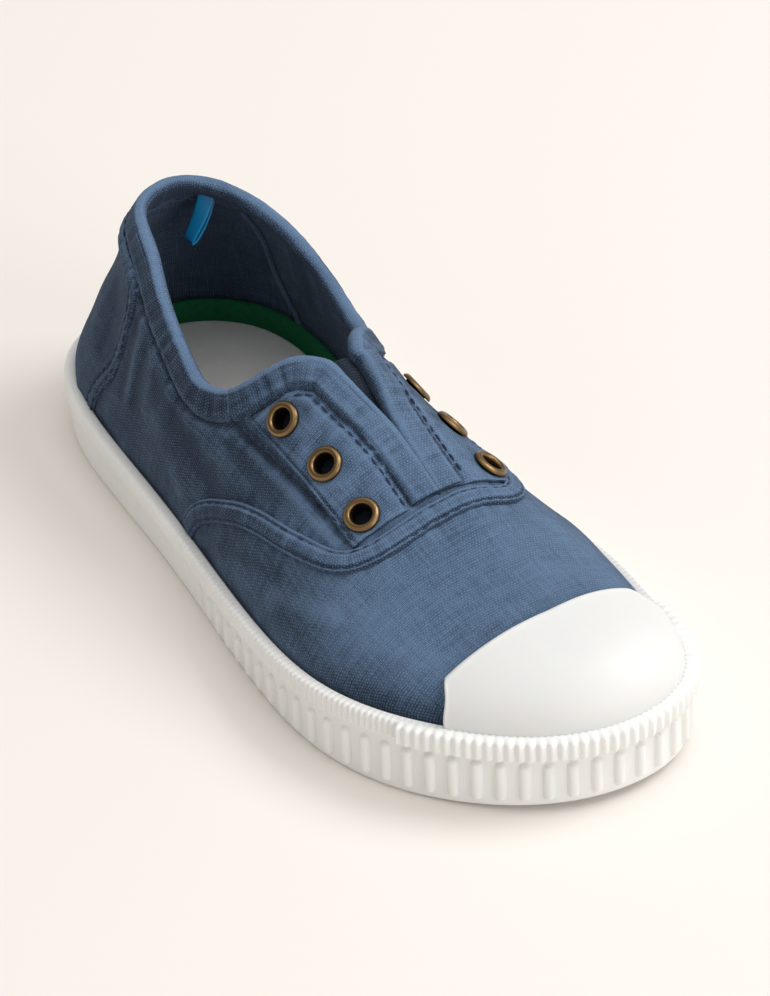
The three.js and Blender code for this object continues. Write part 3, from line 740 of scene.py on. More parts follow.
def nodes_for(name):
    """An empty node material with its shader, and a short way to add and link nodes."""
    material = bpy.data.materials.new(name)
    material.use_nodes = True
    tree = material.node_tree
    shader = tree.nodes["Principled BSDF"]

    def add(kind, inputs=(), **settings):
        node = tree.nodes.new(kind)
        for key, value in settings.items():
            setattr(node, key, value)
        for key, value in dict(inputs).items():
            if isinstance(value, bpy.types.NodeSocket):
                tree.links.new(value, node.inputs[key])
            else:
                node.inputs[key].default_value = value
        return node

    def maths(operation, *values):
        node = add("ShaderNodeMath", dict(enumerate(values)), operation=operation)
        return node.outputs[0]

    def mix(factor, first_colour, second_colour):
        node = add("ShaderNodeMix", data_type="RGBA")
        for socket, value in zip((0, 6, 7), (factor, first_colour, second_colour)):
            if isinstance(value, bpy.types.NodeSocket):
                tree.links.new(value, node.inputs[socket])
            else:
                node.inputs[socket].default_value = value
        return node.outputs[2]

    def clouds(scale, detail, **more):
        body = add("ShaderNodeTexCoord").outputs["Object"]
        inputs = {"Vector": body, "Scale": scale, "Detail": detail, **more}
        return add("ShaderNodeTexNoise", inputs).outputs[0]

    def link(value, key):
        tree.links.new(value, shader.inputs[key])

    return material, shader, add, maths, mix, clouds, link


def woven(name, light, dark, deep, pitch, slack=1.0):
    """Plain-weave cotton: pale rubbed yarn tops, darker yarns and deep blue in the gaps, plus each
    corner's painted tone, which holds painted light from above.
    """
    material, shader, add, maths, mix, clouds, link = nodes_for(name)
    chart = add("ShaderNodeUVMap", uv_map="weave").outputs[0]
    wander = add("ShaderNodeTexNoise", {"Vector": chart, "Scale": 0.45, "Detail": 3.0}).outputs[1]
    spread = add("ShaderNodeVectorMath", {0: wander, 1: (0.5, 0.5, 0.5)}, operation="SUBTRACT")
    bent = add("ShaderNodeVectorMath", {0: spread.outputs[0], "Scale": 0.8}, operation="SCALE")
    placed = add("ShaderNodeVectorMath", {0: chart, 1: bent.outputs[0]}, operation="ADD")
    parts = add("ShaderNodeSeparateXYZ", {0: placed.outputs[0]}).outputs
    warp = maths("SINE", maths("MULTIPLY", parts[0], math.pi / pitch))
    weft = maths("SINE", maths("MULTIPLY", parts[1], math.pi / (0.6 * pitch)))
    over = maths("MULTIPLY", warp, weft)
    warp_top = maths("POWER", maths("MAXIMUM", over, 0.0), 0.75)
    weft_top = maths("MULTIPLY", maths("POWER", maths("MAXIMUM", maths("MULTIPLY", over, -1.0), 0.0),
                                       0.75), 0.5)
    tops = maths("ADD", warp_top, weft_top)
    long_yarn = add("ShaderNodeMapping", {0: chart, 3: (0.12, 1.4, 1)}).outputs[0]
    cross_yarn = add("ShaderNodeMapping", {0: chart, 3: (1.4, 0.12, 1)}).outputs[0]
    uneven = [add("ShaderNodeTexNoise", {0: yarn, "Scale": 1.1, "Detail": 3.0}).outputs[0]
              for yarn in (long_yarn, cross_yarn)]
    slub = maths("ADD", *uneven)
    wash = clouds(42.0, 5.0, Roughness=0.62)
    fuzz = clouds(2600.0, 2.0)
    tone_and_top_light = add("ShaderNodeAttribute", attribute_name="tone_and_top_light").outputs["Fac"]
    sunk = add("ShaderNodeAttribute", attribute_name="sunk").outputs["Fac"]
    tone = maths("MULTIPLY_ADD", maths("MULTIPLY", tops, slub), 0.7,
                 maths("MULTIPLY_ADD", slub, 0.35, -0.39))
    tone = maths("ADD", tone, maths("MULTIPLY_ADD", wash, 0.9, -0.42))
    tone = maths("ADD", tone, maths("MULTIPLY_ADD", fuzz, 0.5, -0.25))
    # Each corner's painted tone: paler where proud, darker where sunk, and paler where it faces up,
    # which is painted light from above.
    tone = maths("ADD", tone, tone_and_top_light)
    cloth = mix(add("ShaderNodeClamp", {0: tone}).outputs[0], dark, light)
    cloth = mix(add("ShaderNodeClamp", {0: sunk}).outputs[0], cloth, deep)
    link(cloth, "Base Color")
    shader.inputs["Roughness"].default_value = 0.92
    shader.inputs["Specular IOR Level"].default_value = 0.15
    shader.inputs["Sheen Weight"].default_value = 0.25
    shader.inputs["Sheen Roughness"].default_value = 0.45
    shader.inputs["Sheen Tint"].default_value = (0.55, 0.72, 1, 1)
    relief = maths("ADD", maths("MULTIPLY", tops, 1.0), maths("MULTIPLY", fuzz, 0.3))
    relief = maths("ADD", relief, maths("MULTIPLY", slub, 0.3))
    bump = add("ShaderNodeBump", {"Height": relief, "Distance": 0.16 * MM * slack,
                                  "Strength": 0.9})
    link(bump.outputs[0], "Normal")
    return material


CANVAS_LIGHT = (0.135, 0.218, 0.352, 1)
CANVAS_DARK = (0.014, 0.024, 0.045, 1)
CANVAS_DEEP = (0.009, 0.015, 0.028, 1)
LINING_LIGHT = (0.2, 0.29, 0.42, 1)
LINING_DARK = (0.04, 0.06, 0.1, 1)
WEAVE_PITCH = 0.54
canvas = woven("washed_canvas", CANVAS_LIGHT, CANVAS_DARK, CANVAS_DEEP, WEAVE_PITCH)
lining = woven("navy_lining", LINING_LIGHT, LINING_DARK, CANVAS_DEEP, 0.6, 0.7)
upper = laid_sheet("canvas_upper", canvas_grid, weave_chart)
paint(upper, "near", np.clip(canvas_near, 0, 1) * 0.45)
merge(upper, 0.05)
near_seam = np.empty(len(upper.data.vertices), np.float32)
upper.data.attributes["near"].data.foreach_get("value", near_seam)
tone_by_relief_and_top_light(upper, near_seam)
punch(upper)
upper.data.materials.append(canvas)
upper.data.materials.append(lining)
modified(upper, "SOLIDIFY", thickness=CANVAS_WALL * MM, offset=-1, material_offset=1)
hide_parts("upper")
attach(upper, "root")

# Collar hem
# The canvas is turned in over a flat elastic round the collar and sewn down with one row,
# so the hem stands proud, is rolled at its top and gathers in fine upright ripples.
HEM_CROWN = 0.8
HEM_GROOVE = -0.3
HEM_INSIDE = 6.0
HEM_BEHIND = 0.6
HEM_LINE_STEP = 0.4


def folded_section(reach_out, reach_in, crown, groove):
    """Section of a cloth edge turned over, along the line: across and height of each
    point, up the outside from its groove, over the edge and down inside."""
    crown, groove = np.asarray(crown)[..., None], np.asarray(groove)[..., None]
    outside = np.linspace(reach_out, 0, 20)
    rise = np.clip((reach_out - outside) / 1.9, 0, 1)
    swell = groove + (crown - groove) * np.sin(rise * np.pi / 2) ** 0.9
    swell = swell - 0.12 * np.exp(-((outside - 0.5 * reach_out) / 1.2) ** 2)
    low = -(CANVAS_WALL + HEM_BEHIND)
    around = np.linspace(0, np.pi, 12)[1:-1]
    radius = (crown - low) / 2
    wrap_across = -0.75 * radius * np.sin(around)
    wrap_height = (crown + low) / 2 + radius * np.cos(around)
    inside = np.linspace(0, reach_in, 14)
    inner = np.where(inside < reach_in - 0.2, low, -CANVAS_WALL - 0.1) + 0 * crown
    back = [(reach_in - 0.4, -CANVAS_WALL - 0.03), (0.3, -CANVAS_WALL - 0.03),
            (-0.12, -CANVAS_WALL / 2), (0.3, -0.15), (reach_out - 0.5, -0.45)]
    across = [outside + 0 * crown, wrap_across, inside + 0 * crown]
    height = [swell, wrap_height, inner]
    for place, level in back:
        across.append(place + 0 * crown)
        height.append(level + 0 * crown)
    return np.concatenate(across, -1), np.concatenate(height, -1)


def gathered_strip(name, line, reach_out, reach_in, crown, groove, gather, pitch, seed):
    """A folded edge along a line, rippled across by its elastic or its stitches."""
    across, height = folded_section(reach_out, reach_in, crown, groove)
    travel = np.arange(len(line)) * np.linalg.norm(line[1] - line[0])
    ripple = pulled_waves(travel, pitch, seed)
    lumps = pulled_waves(travel, 4.5 * pitch, seed + 1)
    slow = pulled_waves(travel, 11, seed + 2)
    on_outside = (height > -0.9) & (across > -0.01)
    outer_part = np.sin(np.clip(across / reach_out, 0, 1) * np.pi) ** 0.7 * on_outside
    inner_part = 0.9 * (height < -CANVAS_WALL - 0.3) * (across > 0)
    top_part = 0.35 * (across <= 0)
    weight = outer_part + inner_part + top_part
    lift = (gather * (ripple + 0.55 * lumps))[:, None] * weight
    lift = lift + (0.22 * slow)[:, None] * (weight > 0.3)
    heights = height + lift * np.where(height < -CANVAS_WALL / 2, -1, 1)
    spread = across + (0.2 * slow + 0.3 * gather * ripple)[:, None] * (across < 1.5)
    grid = sweep(line, spread, heights, over_edge=True)
    return rolled(name, grid, strip_chart(line, grid))


collar_line = evenly(collar_line, HEM_LINE_STEP)
collar_x = collar_line[:, 0]
in_dip = np.exp(-((collar_x + 30) / 12) ** 2)
at_heel = np.clip((-50 - collar_x) / 20, 0, 1)
hem = gathered_strip("collar_hem_canvas", collar_line, HEM_WIDTH, HEM_INSIDE,
                     HEM_CROWN - 0.35 * at_heel, HEM_GROOVE,
                     0.1 + 0.17 * in_dip, 1.8, 21)
tone_by_relief_and_top_light(hem)
hem.data.materials.append(canvas)
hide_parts("collar_hem")
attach(hem, "root")

# Inside seam
# Where the heel's lining meets the quarter's, on either side, a narrow cotton piping is
# sewn over the joint from the hem down to the insole.
PIPING_PLACES = [(-62.2, 14.6, 47.5), (-62, 17.3, 42.5), (-61.9, 20.9, 33.4),
                 (-61.3, 24, 22), (-58.6, 25.3, 15), (-56.2, 25.5, 12)]
PIPING_RADIUS = 0.55
lining_cloth = woven("lining_piping", (0.2, 0.3, 0.46, 1), (0.06, 0.09, 0.15, 1), CANVAS_DEEP, 0.5)
for word, side in (("inner", 1), ("outer", -1)):
    line = curve_through([(x, side * y, z) for x, y, z in PIPING_PLACES], 0.6)
    round_it = np.linspace(0, 2 * np.pi, 11)[:-1]
    across = np.tile(PIPING_RADIUS * 1.4 * np.cos(round_it), (len(line), 1))
    height = PIPING_RADIUS * np.sin(round_it) - CANVAS_WALL - 0.35
    height = height + 0.12 * pulled_waves(np.arange(len(line)) * 0.6, 3, 61)[:, None]
    grid = sweep(line, across, height)
    piping = rolled(f"piping_{word}", grid, strip_chart(line, grid))
    paint(piping, "tone_and_top_light", 0.1)
    piping.data.materials.append(lining_cloth)
    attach(piping, "root")

# Eyestays
# Two rounded panels that carry the eyelets. Their edge at the throat is turned in and held
# by two rows of stitches, and a seam along the back joins them to the quarter.
EYESTAY_THICKNESS = 0.75
BORDER_CROWN = 1.35
BORDER_GROOVE = 0.3
SECOND_ROW = 1.15
CLOTH_EDGE = 0.6
CLOTH_LAYER = 0.5
LOWEST = 0.06


def patch_between(back, front, near, far, rows, columns):
    """Fills four border lines drawn in the plan, near and far running from back to front."""
    u, v = np.meshgrid(np.linspace(0, 1, columns), np.linspace(0, 1, rows))
    near, far = evenly(near, count=columns)[None], evenly(far, count=columns)[None]
    back, front = evenly(back, count=rows)[:, None], evenly(front, count=rows)[:, None]
    u, v = u[..., None], v[..., None]
    corners = ((1 - u) * (1 - v) * near[:, :1] + u * (1 - v) * near[:, -1:]
               + (1 - u) * v * far[:, :1] + u * v * far[:, -1:])
    return (1 - v) * near + v * far + (1 - u) * back + u * front - corners


def eyestay_panel(word, side, throat_line, seam_line):
    line = throat_line if side > 0 else throat_line[::-1]
    corner = np.nonzero(line[:, 0] > -1.5)[0][0]
    inset = sweep(throat_line, np.full((len(throat_line), 1), 1.2), np.zeros((len(throat_line), 1)))
    inset = inset[:, 0] if side > 0 else inset[::-1, 0]
    back, near = inset[:corner + 1][::-1], inset[corner:]
    seam = seam_line[seam_line[:, 0] > inset[0, 0] + 0.4]
    front = np.linspace(near[-1], seam[-1], 20)
    grid = patch_between(back, front, near, seam, 52, 110)
    feet, ways = on_form(grid)
    flat = feet.reshape(-1, 3)
    lift = seam_pull(flat, ["eyestay", "band"], seed=4)[0] + eyelet_pull(flat)
    from_border = distance_to(throat_line, flat) - HEM_WIDTH
    near_border = 0.3 * np.exp(-(np.abs(from_border) / 2.2) ** 1.3)
    ripple = pulled_waves(flat @ np.array([0.8, 0.3, -0.5]), 2.2, 9)
    lift += near_border * ripple - 0.6 * np.exp(-(from_border / 0.75) ** 2)
    lift -= 0.22 * np.exp(-((from_border - SECOND_ROW) / 0.4) ** 2)
    inward = distances(grid[::-1])[::-1]
    height = EYESTAY_THICKNESS * rounded(inward, CLOTH_EDGE) + lift.reshape(inward.shape)
    height -= 0.3 * np.exp(-((inward - 1.0) / 0.4) ** 2)
    grid = feet + ways * np.maximum(height, LOWEST)[..., None]
    chart = np.stack([grid[..., 0], side * inward], -1)
    if side < 0:
        grid, chart = grid[::-1], chart[::-1]
    panel = laid_sheet(f"eyestay_{word}_canvas", grid, chart)
    punch(panel)
    modified(panel, "SOLIDIFY", thickness=CLOTH_LAYER * MM, offset=-1)
    line = evenly(throat_line, HEM_LINE_STEP)
    travel = np.arange(len(line)) * HEM_LINE_STEP
    travel = travel if side > 0 else travel[::-1]
    overlap = np.clip(travel / 4, 0, 1)
    crown = HEM_CROWN + 0.15 + (BORDER_CROWN - HEM_CROWN - 0.15) * overlap
    groove = HEM_GROOVE + (BORDER_GROOVE - HEM_GROOVE) * overlap
    border = gathered_strip(f"border_{word}", line, HEM_WIDTH, HEM_INSIDE, crown, groove,
                            0.15, 2.2, 31 + side)
    panel.select_set(True)
    border.select_set(True)
    bpy.context.view_layer.objects.active = panel
    bpy.ops.object.join()
    panel.select_set(False)
    tone_by_relief_and_top_light(panel)
    panel.data.materials.append(canvas)
    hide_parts(f"eyestay_{word}")
    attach(panel, "root")


eyestay_panel("outer", -1, outer_throat_line, eyestay_lines[0])
eyestay_panel("inner", 1, inner_throat_line, eyestay_lines[1])

# Vamp band
# A tape folded in at both edges that covers the joint of vamp and quarters. It rises from
# the sole, crosses the foot under the eyestays and is sewn along both its edges.
BAND_WIDTH = 4.9
BAND_THICKNESS = 1.15


def tape(name, line, width, thickness, grooves, pitch, gather, seed, foot_height=0.05):
    """A flat tape along a line, rounded at its edges and rippled by its stitches."""
    top = np.linspace(-width / 2, width / 2, 19)
    crown = (1 - np.clip(np.abs(top) / (width / 2), 0, 1) ** 6) ** 0.5
    high = foot_height + (thickness - foot_height) * crown
    for groove in grooves:
        high = high - 0.4 * np.exp(-((top - groove) / 0.36) ** 2)
    high = np.maximum(high, foot_height)
    under = np.array([width / 2 - 0.4, 0, 0.4 - width / 2])
    across = np.concatenate([top, under])
    height = np.concatenate([high, np.full(3, foot_height - 0.02)])
    travel = np.arange(len(line)) * np.linalg.norm(line[1] - line[0])
    ripple = pulled_waves(travel, pitch, seed) + 0.5 * pulled_waves(travel, 4 * pitch, seed + 1)
    middle = np.concatenate([np.cos(top / (width / 2) * np.pi / 2) ** 0.5, np.zeros(3)])
    heights = height[None] + gather * ripple[:, None] * middle[None]
    sway = 0.25 * pulled_waves(travel, 6 * pitch, seed + 2)
    spread = np.broadcast_to(across, heights.shape) + sway[:, None]
    grid = sweep(line, spread, heights)
    piece = rolled(name, grid, strip_chart(line, grid))
    tone_by_relief_and_top_light(piece)
    return piece


BAND_ROWS = [-BAND_WIDTH / 2 + 0.85, BAND_WIDTH / 2 - 0.85]
band = tape("vamp_band_tape", evenly(band_line, HEM_LINE_STEP), BAND_WIDTH, BAND_THICKNESS, BAND_ROWS,
            2.4, 0.16, 41)
band.data.materials.append(canvas)
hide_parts("vamp_band")
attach(band, "root")

# Heel counter
# A second layer of canvas round the heel, from the foxing to the hem. Each front edge is
# turned in and held by two close rows of stitches.
COUNTER_THICKNESS = 0.8
COUNTER_ROWS = [0.9, 3.0]


def hem_foot(x, y):
    return top_line(x, y) - HEM_WIDTH + 0.6


counter_columns = []
COUNTER_COLUMNS = 150
COUNTER_LEVELS = 60
COUNTER_TURN = 0.135
edge_x = smooth_curve([p[1] for p in COUNTER_SIDE], [p[0] for p in COUNTER_SIDE])
for turn in np.linspace(-COUNTER_TURN, COUNTER_TURN, COUNTER_COLUMNS + 1):
    whole = column_up(turn, lambda p: p[..., 2] - hem_foot(p[..., 0], p[..., 1]), low=-0.1)
    counter_columns.append(evenly(whole, count=COUNTER_LEVELS))
counter_grid = np.stack(counter_columns, 1)
for row in counter_grid:
    limit = edge_x(row[:, 2])
    inside = row[:, 0] < limit
    first_in, last_in = np.nonzero(inside)[0][[0, -1]]
    kept = evenly(row[first_in:last_in + 1], count=COUNTER_COLUMNS + 1)
    row[:] = kept
feet, ways = on_form(counter_grid)
lift, _ = seam_pull(feet.reshape(-1, 3), ["counter", "hem", "feather"], seed=2)
from_left = distances(counter_grid, axis=1)
from_edge = np.minimum(from_left, from_left[:, -1:] - from_left)
counter_height = COUNTER_THICKNESS * rounded(from_edge, CLOTH_EDGE)
for groove in COUNTER_ROWS:
    counter_height -= 0.3 * np.exp(-((from_edge - groove) / 0.38) ** 2)
counter_height = np.maximum(counter_height + lift.reshape(from_edge.shape), LOWEST)
counter = laid_sheet("heel_counter_cloth", feet + ways * counter_height[..., None],
                     np.stack([from_left, distances(counter_grid)], -1))
modified(counter, "SOLIDIFY", thickness=CLOTH_LAYER * MM, offset=-1)
tone_by_relief_and_top_light(counter)
counter.data.materials.append(canvas)
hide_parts("heel_counter")
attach(counter, "root")

# Stitches
# Every row is sewn with one dark indigo thread. Each stitch lies half sunk in its groove,
# and the rows are grouped by the pieces that they hold down.
STITCH_PITCH = 2.5
STITCH_LENGTH = 1.95
THREAD_RADIUS = 0.24
thread, thread_shader, add, maths, mix, clouds, link = nodes_for("indigo_thread")
link(mix(add("ShaderNodeTexNoise", {"Vector": add("ShaderNodeTexCoord").outputs["Object"],
                                    "Scale": 900.0}).outputs[0],
         (0.012, 0.018, 0.04, 1), (0.04, 0.06, 0.115, 1)), "Base Color")
thread_shader.inputs["Roughness"].default_value = 0.7
thread_shader.inputs["Specular IOR Level"].default_value = 0.25


def stitch_rows(name, rows):
    """Threads along rows of places, each row a line and the height it is sewn at."""
    bpy.ops.mesh.primitive_uv_sphere_add(segments=6, ring_count=5, radius=1)
    piece = bpy.context.object
    mould = np.array([corner.co for corner in piece.data.vertices])
    faces = [tuple(face.vertices) for face in piece.data.polygons]
    bpy.data.objects.remove(piece)
    places, sides = [], []
    for line, across, height in rows:
        line = evenly(line, 0.5)
        path = sweep(line, np.full((len(line), 1), across), np.full((len(line), 1), height))[:, 0]
        path = path[distance_to(line, path) > 0.9 * abs(across)]
        path = evenly(soften(path, 4), STITCH_PITCH / 10)
        ways = on_form(path)[1]
        for start in range(3, len(path) - 10, 10):
            middle = path[start + 4]
            along = path[start + 8] - path[start]
            along /= np.linalg.norm(along)
            way = ways[start + 4]
            side = np.cross(way, along)
            body = (mould[:, 2:] * along * STITCH_LENGTH / 2 + mould[:, :1] * side * THREAD_RADIUS
                    + mould[:, 1:2] * way * THREAD_RADIUS)
            body -= way * (0.16 * (mould[:, 2:] ** 2))
            sides.append([tuple(c + len(places) * len(mould) for c in face) for face in faces])
            places.append(middle + body)
    mesh = bpy.data.meshes.new(name)
    corners = (np.concatenate(places) + ROW_SHIFT) * MM
    mesh.from_pydata(corners.tolist(), [], [face for group in sides for face in group])
    piece = bpy.data.objects.new(name, mesh)
    bpy.context.scene.collection.objects.link(piece)
    with edit_mode(piece):
        bpy.ops.mesh.normals_make_consistent(inside=False)
    mesh.shade_smooth()
    mesh.materials.append(thread)
    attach(piece, "root")


stitch_rows("stitches_collar", [(collar_line, HEM_WIDTH - 0.9, HEM_CROWN - 0.42)])
for word, throat_line, seam_line in (("outer", outer_throat_line, eyestay_lines[0]),
                                     ("inner", inner_throat_line, eyestay_lines[1])):
    seam_side = 1.0 if word == "outer" else -1.0
    stitch_rows(f"stitches_eyestay_{word}", [
        (throat_line, HEM_WIDTH - 0.4, BORDER_GROOVE + 0.4),
        (throat_line[throat_line[:, 0] > -11], HEM_WIDTH + SECOND_ROW, EYESTAY_THICKNESS - 0.12),
        (seam_line[seam_line[:, 0] > -12], seam_side, EYESTAY_THICKNESS - 0.2),
    ])
stitch_rows("stitches_band", [(band_line, row, BAND_THICKNESS - 0.4) for row in BAND_ROWS])
stitch_rows("stitches_heel", [(line, side * row, COUNTER_THICKNESS - 0.1)
                              for line, side in zip(counter_lines, (1, -1)) for row in COUNTER_ROWS])

# Gusset
# A flat piece of dark navy woven elastic behind the throat, which lets the shoe open. It
# is sewn in under both eyestays.
GUSSET_WIDTH = 21
GUSSET_THICKNESS = 1.2
GUSSET_ROWS, GUSSET_COLUMNS = 50, 70
elastic = woven("navy_elastic", (0.035, 0.048, 0.075, 1), (0.012, 0.017, 0.028, 1),
                (0.005, 0.007, 0.012, 1), 0.6, 0.8)
gusset_low, gusset_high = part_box("gusset")
gusset_x = np.linspace(gusset_low.x / MM - ROW_SHIFT[0], gusset_high.x / MM - ROW_SHIFT[0],
                       GUSSET_COLUMNS)
gusset_y = np.linspace(-GUSSET_WIDTH / 2, GUSSET_WIDTH / 2, GUSSET_ROWS)
gusset_plan = np.stack(np.meshgrid(gusset_x, gusset_y), -1)
gusset_drop = np.array(from_above(gusset_plan.reshape(-1, 2)))
feet, ways = on_form(gusset_drop)
sag = -(2.0 + GAP) - 0.15 * soft_waves(gusset_drop, 5, 8)
gusset_grid = (feet + ways * sag[:, None]).reshape(GUSSET_ROWS, GUSSET_COLUMNS, 3)
gusset = laid_sheet("gusset_elastic", gusset_grid, gusset_plan)
modified(gusset, "SOLIDIFY", thickness=GUSSET_THICKNESS * MM, offset=-1)
modified(gusset, "BEVEL", width=0.3 * MM, segments=2)
gusset.data.materials.append(elastic)
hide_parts("gusset")
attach(gusset, "root")

# Eyelet shade sheets
# A strip of very dark navy cloth just behind the canvas under each row of eyelets. It is
# painted shade: it stands in for the dark inside of the shoe, which can't be seen through the holes.
SHADE_SHEET_DEPTH = 2.75
for word, side in (("outer", -1), ("inner", 1)):
    strip_x, strip_y = np.meshgrid(np.linspace(-8, 28.5, 50), side * np.linspace(9.8, 18, 14))
    feet, ways = on_form(from_above(zip(strip_x.ravel(), strip_y.ravel())))
    strip_grid = (feet - ways * SHADE_SHEET_DEPTH).reshape(strip_x.shape + (3,))
    strip = laid_sheet(f"eyelet_shade_sheet_{word}", strip_grid, np.stack([strip_x, strip_y], -1))
    modified(strip, "SOLIDIFY", thickness=0.4 * MM, offset=0)
    strip.data.materials.append(elastic)
    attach(strip, "root")

# Eyelets
# Six two-part brass eyelets, turned and aged. The flange is a rounded ring with a fine step,
# and the barrel runs down through eyestay and canvas and is rolled out behind.
EYELET_SECTION = [(2.15, -2.1), (2.15, 1.2), (2.25, 1.62), (2.5, 1.86), (2.85, 1.9), (3.2, 1.78),
                  (3.5, 1.52), (3.68, 1.2), (3.7, 0.95), (3.55, 0.9), (2.6, 0.9), (2.6, -2.1)]
brass, brass_shader, add, maths, mix, clouds, link = nodes_for("aged_brass")
patina = clouds(330.0, 6.0)
# Painted highlight: thin bands on the flange's top are given a paler brass colour.
painted_highlight = add("ShaderNodeAttribute", attribute_name="rim_highlight").outputs["Fac"]
metal = mix(patina, (0.035, 0.02, 0.011, 1), (0.14, 0.083, 0.038, 1))
link(mix(painted_highlight, metal, (0.36, 0.235, 0.11, 1)), "Base Color")
link(maths("MULTIPLY_ADD", patina, 0.3, 0.22), "Roughness")
brass_shader.inputs["Metallic"].default_value = 1.0
for name, (foot, way) in eyelet_seats.items():
    ring = bpy.data.meshes.new(name + "_brass")
    ring.from_pydata([(r, 0, z) for r, z in EYELET_SECTION], [(i, i + 1) for i in range(11)], [])
    eyelet = bpy.data.objects.new(name + "_brass", ring)
    bpy.context.scene.collection.objects.link(eyelet)
    eyelet.data.update()
    with edit_mode(eyelet):
        bpy.ops.mesh.spin(steps=48, angle=2 * math.pi, center=(0, 0, 0), axis=(0, 0, 1))
        bpy.ops.mesh.select_all(action="SELECT")
        bpy.ops.mesh.remove_doubles(threshold=0.01)
        bpy.ops.mesh.select_all(action="DESELECT")
        bpy.ops.mesh.select_non_manifold(extend=False)
        bpy.ops.mesh.bridge_edge_loops()
        bpy.ops.mesh.select_all(action="SELECT")
        bpy.ops.mesh.normals_make_consistent(inside=False)
    places = np.array([corner.co for corner in eyelet.data.vertices])
    radius = np.hypot(places[:, 0], places[:, 1])
    # Painted highlight bands, round the flange's outer and inner rings on its top.
    rim_highlight = np.exp(-((radius - 3.25) / 0.3) ** 2) + np.exp(-((radius - 2.3) / 0.2) ** 2)
    rim_highlight = rim_highlight * (places[:, 2] > 1)
    paint(eyelet, "rim_highlight", rim_highlight * 0.8)
    turn = Vector((0, 0, 1)).rotation_difference(Vector(way)).to_matrix()
    placed = places @ np.array(turn).T + foot
    move_corners(eyelet, placed)
    eyelet.data.shade_smooth()
    eyelet.data.materials.append(brass)
    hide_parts(name)
    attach(eyelet, "root")

# Toe cap
# One moulded rubber cap, glued over the toe before the foxing. It has a soft rolled edge
# and a small square nib where its edge turns down to the foxing.
CAP_THICKNESS = 1.3
CAP_WALL = 1.0
CAP_EDGE = 1.0
CAP_BACK_X = 60.4
CAP_ROWS, CAP_COLUMNS = 76, 241
CAP_SIDE = {"rise": [-0.2, 0.1, 0.27, 0.38, 0.42, 1],
            "turn": [0.3925, 0.39, 0.3875, 0.3835, 0.383, 0.383]}
rubber, rubber_shader, add, maths, mix, clouds, link = nodes_for("white_rubber")
cloud = clouds(60.0, 4.0)
grain = clouds(1500.0, 3.0)
link(mix(cloud, (0.82, 0.815, 0.79, 1), (0.9, 0.895, 0.875, 1)), "Base Color")
rubber_shader.inputs["Roughness"].default_value = 0.62
rubber_shader.inputs["Specular IOR Level"].default_value = 0.35
rubber_shader.inputs["Subsurface Weight"].default_value = 0.12
rubber_shader.inputs["Subsurface Scale"].default_value = 0.0015
link(add("ShaderNodeBump", {"Height": grain, "Distance": 0.03 * MM, "Strength": 0.5}).outputs[0],
     "Normal")
cap_rubber, cap_shader, add, maths, mix, clouds, link = nodes_for("cap_rubber")
cloud = clouds(45.0, 3.0)
link(mix(cloud, (0.72, 0.718, 0.705, 1), (0.78, 0.778, 0.765, 1)), "Base Color")
link(maths("MULTIPLY_ADD", cloud, 0.2, 0.36), "Roughness")
cap_shader.inputs["Subsurface Weight"].default_value = 0.12
cap_shader.inputs["Subsurface Scale"].default_value = 0.0015
cap_side_turn = smooth_curve(CAP_SIDE["rise"], CAP_SIDE["turn"])
cap_columns = []
for across in np.sin(np.linspace(-1, 1, CAP_COLUMNS) * np.pi / 2):
    rises = np.linspace(-0.2, 1, 600)
    line = last_point(0.5 - across * (0.5 - cap_side_turn(rises)), rises)
    back = np.nonzero((line[:, 0] < CAP_BACK_X) & (rises > 0.37))[0]
    if len(back):
        line = line[:back[0] + 1]
    cap_columns.append(evenly(line, count=CAP_ROWS))
cap_grid = np.stack(cap_columns[::-1], 1)
from_first = distances(cap_grid, axis=1)
from_side_edge = np.minimum(from_first, from_first[:, -1:] - from_first)
from_back = np.where(cap_grid[..., 2] > 22, cap_grid[..., 0] - CAP_BACK_X, 9)
from_cut = np.maximum(np.minimum(from_side_edge, from_back), 0)
feet, ways = on_form(cap_grid)
cap_height = GAP / 3 + CAP_THICKNESS * rounded(from_cut, CAP_EDGE)
cap_height += 0.12 * np.exp(-((from_cut - 0.9) / 0.6) ** 2)
cap = laid_sheet("toe_cap_rubber", feet + ways * cap_height[..., None], cap_grid[..., :2])
merge(cap, 0.03)
cap_places = corners_of(cap)
near_top = np.exp(-((cap_places[:, 0] - along_x(RIDGE["at"][-1])) / 4) ** 2
                  - ((cap_places[:, 1] - BALL_WIDTH * RIDGE["side"][-1]) / 4) ** 2)
relax(cap, np.clip(near_top * 1.5, 0, 1), 60)
modified(cap, "SOLIDIFY", thickness=CAP_WALL * MM, offset=-1)
cap.data.materials.append(cap_rubber)
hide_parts("toe_cap")
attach(cap, "root")

# Foxing
# The rubber strip round the sole. A finely knurled trim runs along its top, a plain band
# below it, and upright ribs with round ends below that, full at the toe and faint behind.
TRIM_HEIGHT = 4.4
KNURL_PITCH = 1.35
KNURL_DEPTH = 0.5
RIB_PITCH = 4.7
RIB_HALF = 1.1
RIB_PROUD = 1.05
BAND_INSET = 1.0
RIB_FOOT = 1.7
RIB_HEAD = 1.9
FOXING_COLUMNS = 2500
round_turn = np.linspace(0, 1, 4001)
round_line = outline_point(round_turn, 0)
round_length = distances(round_line)
travel = np.linspace(0, round_length[-1], FOXING_COLUMNS + 1)
fox_turn = np.interp(travel, round_length, round_turn)
fox_share = share_at(outline_point(fox_turn)[:, 0])
fox_top, fox_foot = side_top(fox_share), side_foot(fox_share)
knurls = round(round_length[-1] / KNURL_PITCH)
knurl = (0.5 + 0.5 * np.cos(travel / round_length[-1] * knurls * 2 * np.pi)) ** 0.8
rib_count = round(round_length[-1] / RIB_PITCH)
